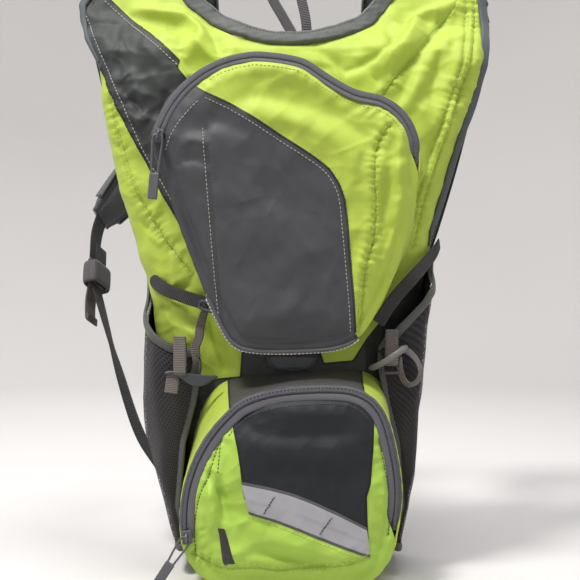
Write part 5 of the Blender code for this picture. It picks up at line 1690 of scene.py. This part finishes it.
def back():
    """The back panel with its bound edge, and three cushions with pressed slots."""
    half = [(60, 3.4), (82, 8), (95, 24), (104, 60), (110, 120), (115, 200), (126, 265),
            (140, 310), (155, 360), (168, 410), (178, 450), (183, 476), (176, 486), (140, 487), (98, 485),
            (84, 481), (70, 476), (50, 474)]
    outline = mirror_loop(half)
    grooves = [([(-150, 296), (0, 296), (150, 296)], 0.25), ([(-120, 172), (0, 172), (120, 172)], 0.25)]
    piece, _surface, loop = cushion("back_panel_cloth", outline, PANEL_Y, 11.4, 0.4, SPACER,
                                    40, 3.5, seams=grooves)
    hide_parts("back_panel")
    ring = resample(np.vstack([loop, loop[:1]]), 2.5)
    path = np.column_stack([ring[:, 0], np.full(len(ring), BACK_Y + 5.5), ring[:, 1]])
    centre = np.array((0, BACK_Y, 260))
    along = unit(np.gradient(ring, axis=0))
    normals = np.column_stack([-along[:, 1], np.full(len(ring), 0.2), along[:, 0]])
    if np.mean(np.sum(normals[:, [0, 2]] * (ring - centre[[0, 2]]), axis=1)) < 0:
        normals = -normals
    edge = make("back_panel_binding", sweep(path, normals, band(12, 1.0, 0.7, 9)), BINDING_CLOTH)

    upper = [(-96, 322), (-62, 296), (0, 304), (62, 296), (96, 322), (104, 400), (88, 440), (34, 446),
             (0, 424), (-34, 446), (-88, 440), (-104, 400)]
    middle = [(-84, 178), (0, 170), (84, 178), (88, 231), (84, 284), (0, 290), (-84, 284), (-88, 231)]
    lumbar = [(-78, 52), (0, 44), (78, 52), (82, 107), (78, 162), (0, 168), (-78, 162), (-82, 107)]
    slots = {
        "upper": [((-60, 330), (-54, 420)), ((60, 330), (54, 420)), ((0, 312), (0, 415))],
        "middle": [((-44, 182), (-44, 280)), ((44, 182), (44, 280)), ((0, 180), (0, 282))],
        "lumbar": [((-40, 56), (-40, 160)), ((40, 56), (40, 160)), ((0, 52), (0, 160))],
    }
    for part, pad in (("upper", upper), ("middle", middle), ("lumbar", lumbar)):
        pressed = [(line, 5, -4) for line in slots[part]]
        piece, surface, loop = cushion(f"back_pad_cushion_{part}", pad, PAD_Y, 7.0, 3.2, SPACER,
                                       34, 2.6, folds=pressed)
        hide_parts(f"back_pad_{part}")
        shrunk = loop + inward(loop) * 5.5
        closed = np.vstack([shrunk, shrunk[:1]])
        points, normals = surface.drape(closed, step=1.0, direction=(0, -1, 0), steps=1)
        make(f"back_pad_stitches_{part}", stitch_row(points, normals, 2.6, 1.2, 0.4, 0.3), LIGHT_THREAD)


def base():
    """The sewn bottom panel, slightly dished."""
    outline = [(-80, -14), (-74, -20), (-60, -23), (60, -23), (74, -20), (80, -14), (84, 8), (84, 36),
               (60, 37.5), (-60, 37.5), (-84, 36), (-84, 8)]
    loop = resample(smooth(outline, 4, closed=True), 2.5, closed=True)
    centre = loop.mean(0)
    rows, count = 24, len(loop)
    t = np.concatenate([[0.0, 0.0], np.linspace(0.0, 0.995, rows - 2)])
    flat = loop[None] + (centre - loop)[None] * t[:, None, None]
    level = np.repeat(np.arange(rows), count)
    shape = flat.reshape(-1, 2)
    deep = np.clip(inside_by(shape, loop), 0, None)
    z = 2.8 - 2.2 * np.clip(deep / 6, 0, 1) + 0.25 * ripple(shape[:, 0], shape[:, 1], 30, 61)
    z = np.where(level == 0, 4.2, z)
    points = np.column_stack([shape[:, 0], shape[:, 1], np.maximum(z, 0.3)])
    faces = grid_faces(rows, count, close_cols=True) + [last_cap(rows, count)]
    piece = make("bottom_panel_cloth", (points, faces, np.column_stack([shape, z])), GREY_CLOTH)
    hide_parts("bottom_panel")


# ------------------------------------------------------------------ sternum strap and reservoir


def sternum():
    """The two webbings of the sternum strap."""
    buckle_y = RAIL_Y + 1.5
    web_y = buckle_y + 3.6
    left = smooth([(8 - RAIL_X, buckle_y, STERNUM_Z), (-66, buckle_y + 2, STERNUM_Z), (-50, web_y, STERNUM_Z),
                   (-4, web_y, STERNUM_Z)], 8)
    right = smooth([(27, buckle_y, STERNUM_Z), (64, buckle_y + 1.5, STERNUM_Z),
                    (RAIL_X - 8, buckle_y, STERNUM_Z)], 8)
    for side, path in (("left", left), ("right", right)):
        piece = webbing(f"sternum_webbing_cloth_{side}", path, (0, 1, 0), 14.8, 1.3, STRAP_WEBBING, "sternum")
        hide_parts(f"sternum_webbing_{side}")


def reservoir():
    """The water bag: two sheets of film welded along the rim and pillowed between."""
    wide, low, high = 70.0, 8.0, 352.0
    half = [(40, low), (60, low + 7), (wide, low + 28), (wide, high - 40), (wide - 8, high - 12),
            (wide - 28, high)]
    loop = resample(smooth(mirror_loop(half), 3, closed=True), 3.0, closed=True)
    centre = loop.mean(0)
    count = len(loop)
    rows = 30
    t = np.linspace(0, 1, rows)
    flat = loop[None] + (centre - loop)[None] * t[:, None, None] * 0.995
    shape = flat.reshape(-1, 2)
    deep = np.clip(inside_by(shape, loop), 0, None)
    swell = 12.2 * np.sqrt(np.clip((deep - 6) / 40, 0, 1)) + 0.4
    swell += 0.5 * np.sin(shape[:, 1] / 6.5) * np.exp(-np.abs(deep - 9) / 5) * (deep > 6)
    face = np.column_stack([shape[:, 0], 21.5 - swell, shape[:, 1]])
    back_face = np.column_stack([shape[:, 0], 21.5 + swell, shape[:, 1]])
    faces = grid_faces(rows, count, close_cols=True) + [last_cap(rows, count)]
    second = [tuple(k + len(face) for k in f[::-1]) for f in faces]
    rim = [(j, (j + 1) % count, (j + 1) % count + len(face), j + len(face)) for j in range(count)]
    cloth = np.column_stack([shape, swell])
    shape = (np.vstack([face, back_face]), faces + second + rim, np.vstack([cloth, cloth]))
    piece = make("reservoir_film", shape, BAG_FILM, "reservoir")
    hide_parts("reservoir_bag")


# ------------------------------------------------------------------ moulded parts of the frame


def mouldings():
    """Better materials and slightly rounded edges for the moulded parts that the frame keeps."""
    kinds = {
        "grey_plastic": SLATE_PLASTIC, "zip_pull": PULL_PLASTIC, "blue_plastic": BLUE_PLASTIC,
    }
    for part in frame["nodes"].values():
        slot = part.data.materials[0].name.split(".")[0]
        if not part.hide_render and slot in kinds:
            part.data.materials.clear()
            part.data.materials.append(kinds[slot])
            weld = part.modifiers.new("weld", "WELD")
            weld.merge_threshold = 2e-6
            edge = part.modifiers.new("edge", "BEVEL")
            edge.width = 0.35 * MM
            edge.segments = 2
            edge.limit_method = "ANGLE"
            edge.angle_limit = math.radians(35)
            edge.harden_normals = True


# ------------------------------------------------------------------ floor, light and camera

# The camera stands this far from the lower pocket's rim, where the view is this wide to each side.
VIEW_DISTANCE = 800
VIEW_HALF_WIDTH = 237.8
VIEW_HEIGHT = 247.6


def stage():
    """A pale floor that curves up into a round wall, the same from every side."""
    paint = Paint("studio_paper", 0.85)
    coords = paint.place()
    paint.finish(paint.mix(paint.noise(coords, 600.0), (0.60, 0.585, 0.58), (0.64, 0.625, 0.62)))
    profile = [(0.8, 0), (1.6, 0)]
    profile += [(1.6 + 0.9 * math.sin(a), 0.9 - 0.9 * math.cos(a))
                for a in np.linspace(0.1, math.pi / 2, 14)]
    profile += [(2.5, 1.8), (2.5, 3.4)]
    turns = 96
    verts = [(r * math.cos(6.28319 * k / turns), r * math.sin(6.28319 * k / turns), h)
             for r, h in profile for k in range(turns)]
    faces = grid_faces(len(profile), turns, close_cols=True)
    faces.append(tuple(range(turns))[::-1])
    mesh = bpy.data.meshes.new("studio_floor")
    mesh.from_pydata(verts, [], faces)
    smooth_faces = [True] * len(mesh.polygons)
    smooth_faces[-1] = False
    mesh.polygons.foreach_set("use_smooth", smooth_faces)
    mesh.materials.append(paint.material)
    floor = bpy.data.objects.new("studio_floor", mesh)
    bpy.context.scene.collection.objects.link(floor)


def area_light(name, place, target, size, power, colour=(1, 1, 1)):
    """A square lamp aimed at a point, itself unseen by the camera."""
    lamp = bpy.data.lights.new(name, "AREA")
    lamp.energy, lamp.size, lamp.color = power, size, colour
    made = bpy.data.objects.new(name, lamp)
    made.location = place
    made.rotation_euler = (Vector(target) - Vector(place)).to_track_quat("-Z", "Y").to_euler()
    made.visible_camera = False
    bpy.context.scene.collection.objects.link(made)


def lights_and_camera():
    """Soft studio lamps, a pale surround, and the camera straight in front of the pockets."""
    area_light("key", (-0.75, -0.8, 2.2), (0, 0, 0.35), 0.42, 53, (1.0, 0.985, 0.96))
    area_light("top", (0.3, -0.3, 2.3), (0, 0, 0.3), 0.6, 22)
    area_light("fill", (1.8, -0.9, 0.8), (0, 0, 0.25), 1.4, 3, (0.95, 0.97, 1.0))
    area_light("back", (-0.45, 1.35, 1.8), (0, 0, 0.3), 1.4, 14)
    world_light = bpy.data.worlds.new("soft_room")
    world_light.use_nodes = True
    world_light.node_tree.nodes["Background"].inputs[0].default_value = (0.93, 0.95, 1.0, 1)
    world_light.node_tree.nodes["Background"].inputs[1].default_value = 0.26
    bpy.context.scene.world = world_light
    bpy.context.scene.view_settings.view_transform = "Standard"
    lens = bpy.data.cameras.new("camera")
    lens.angle = 2 * math.atan(VIEW_HALF_WIDTH / VIEW_DISTANCE)
    lens.clip_start = 0.02
    camera = bpy.data.objects.new("camera", lens)
    camera.location = world([(0, LOWER_RIM_Y - VIEW_DISTANCE, VIEW_HEIGHT)])[0]
    camera.rotation_euler = (math.pi / 2, 0, 0)
    bpy.context.scene.collection.objects.link(camera)
    bpy.context.scene.camera = camera


# ------------------------------------------------------------------ the whole model

main_compartment = main_shell()
top_pocket()
lower_pocket()
neck()
shell_stitches(main_compartment)
wing_bindings()
for pocket_side, _sign in SIDES:
    mesh_pocket(pocket_side)
compression()
hooks()
badge_rim()
haul_loop()
for strap_side, strap_sign in SIDES:
    shoulder_strap(strap_side, strap_sign)
back()
base()
sternum()
reservoir()
mouldings()
stage()
lights_and_camera()
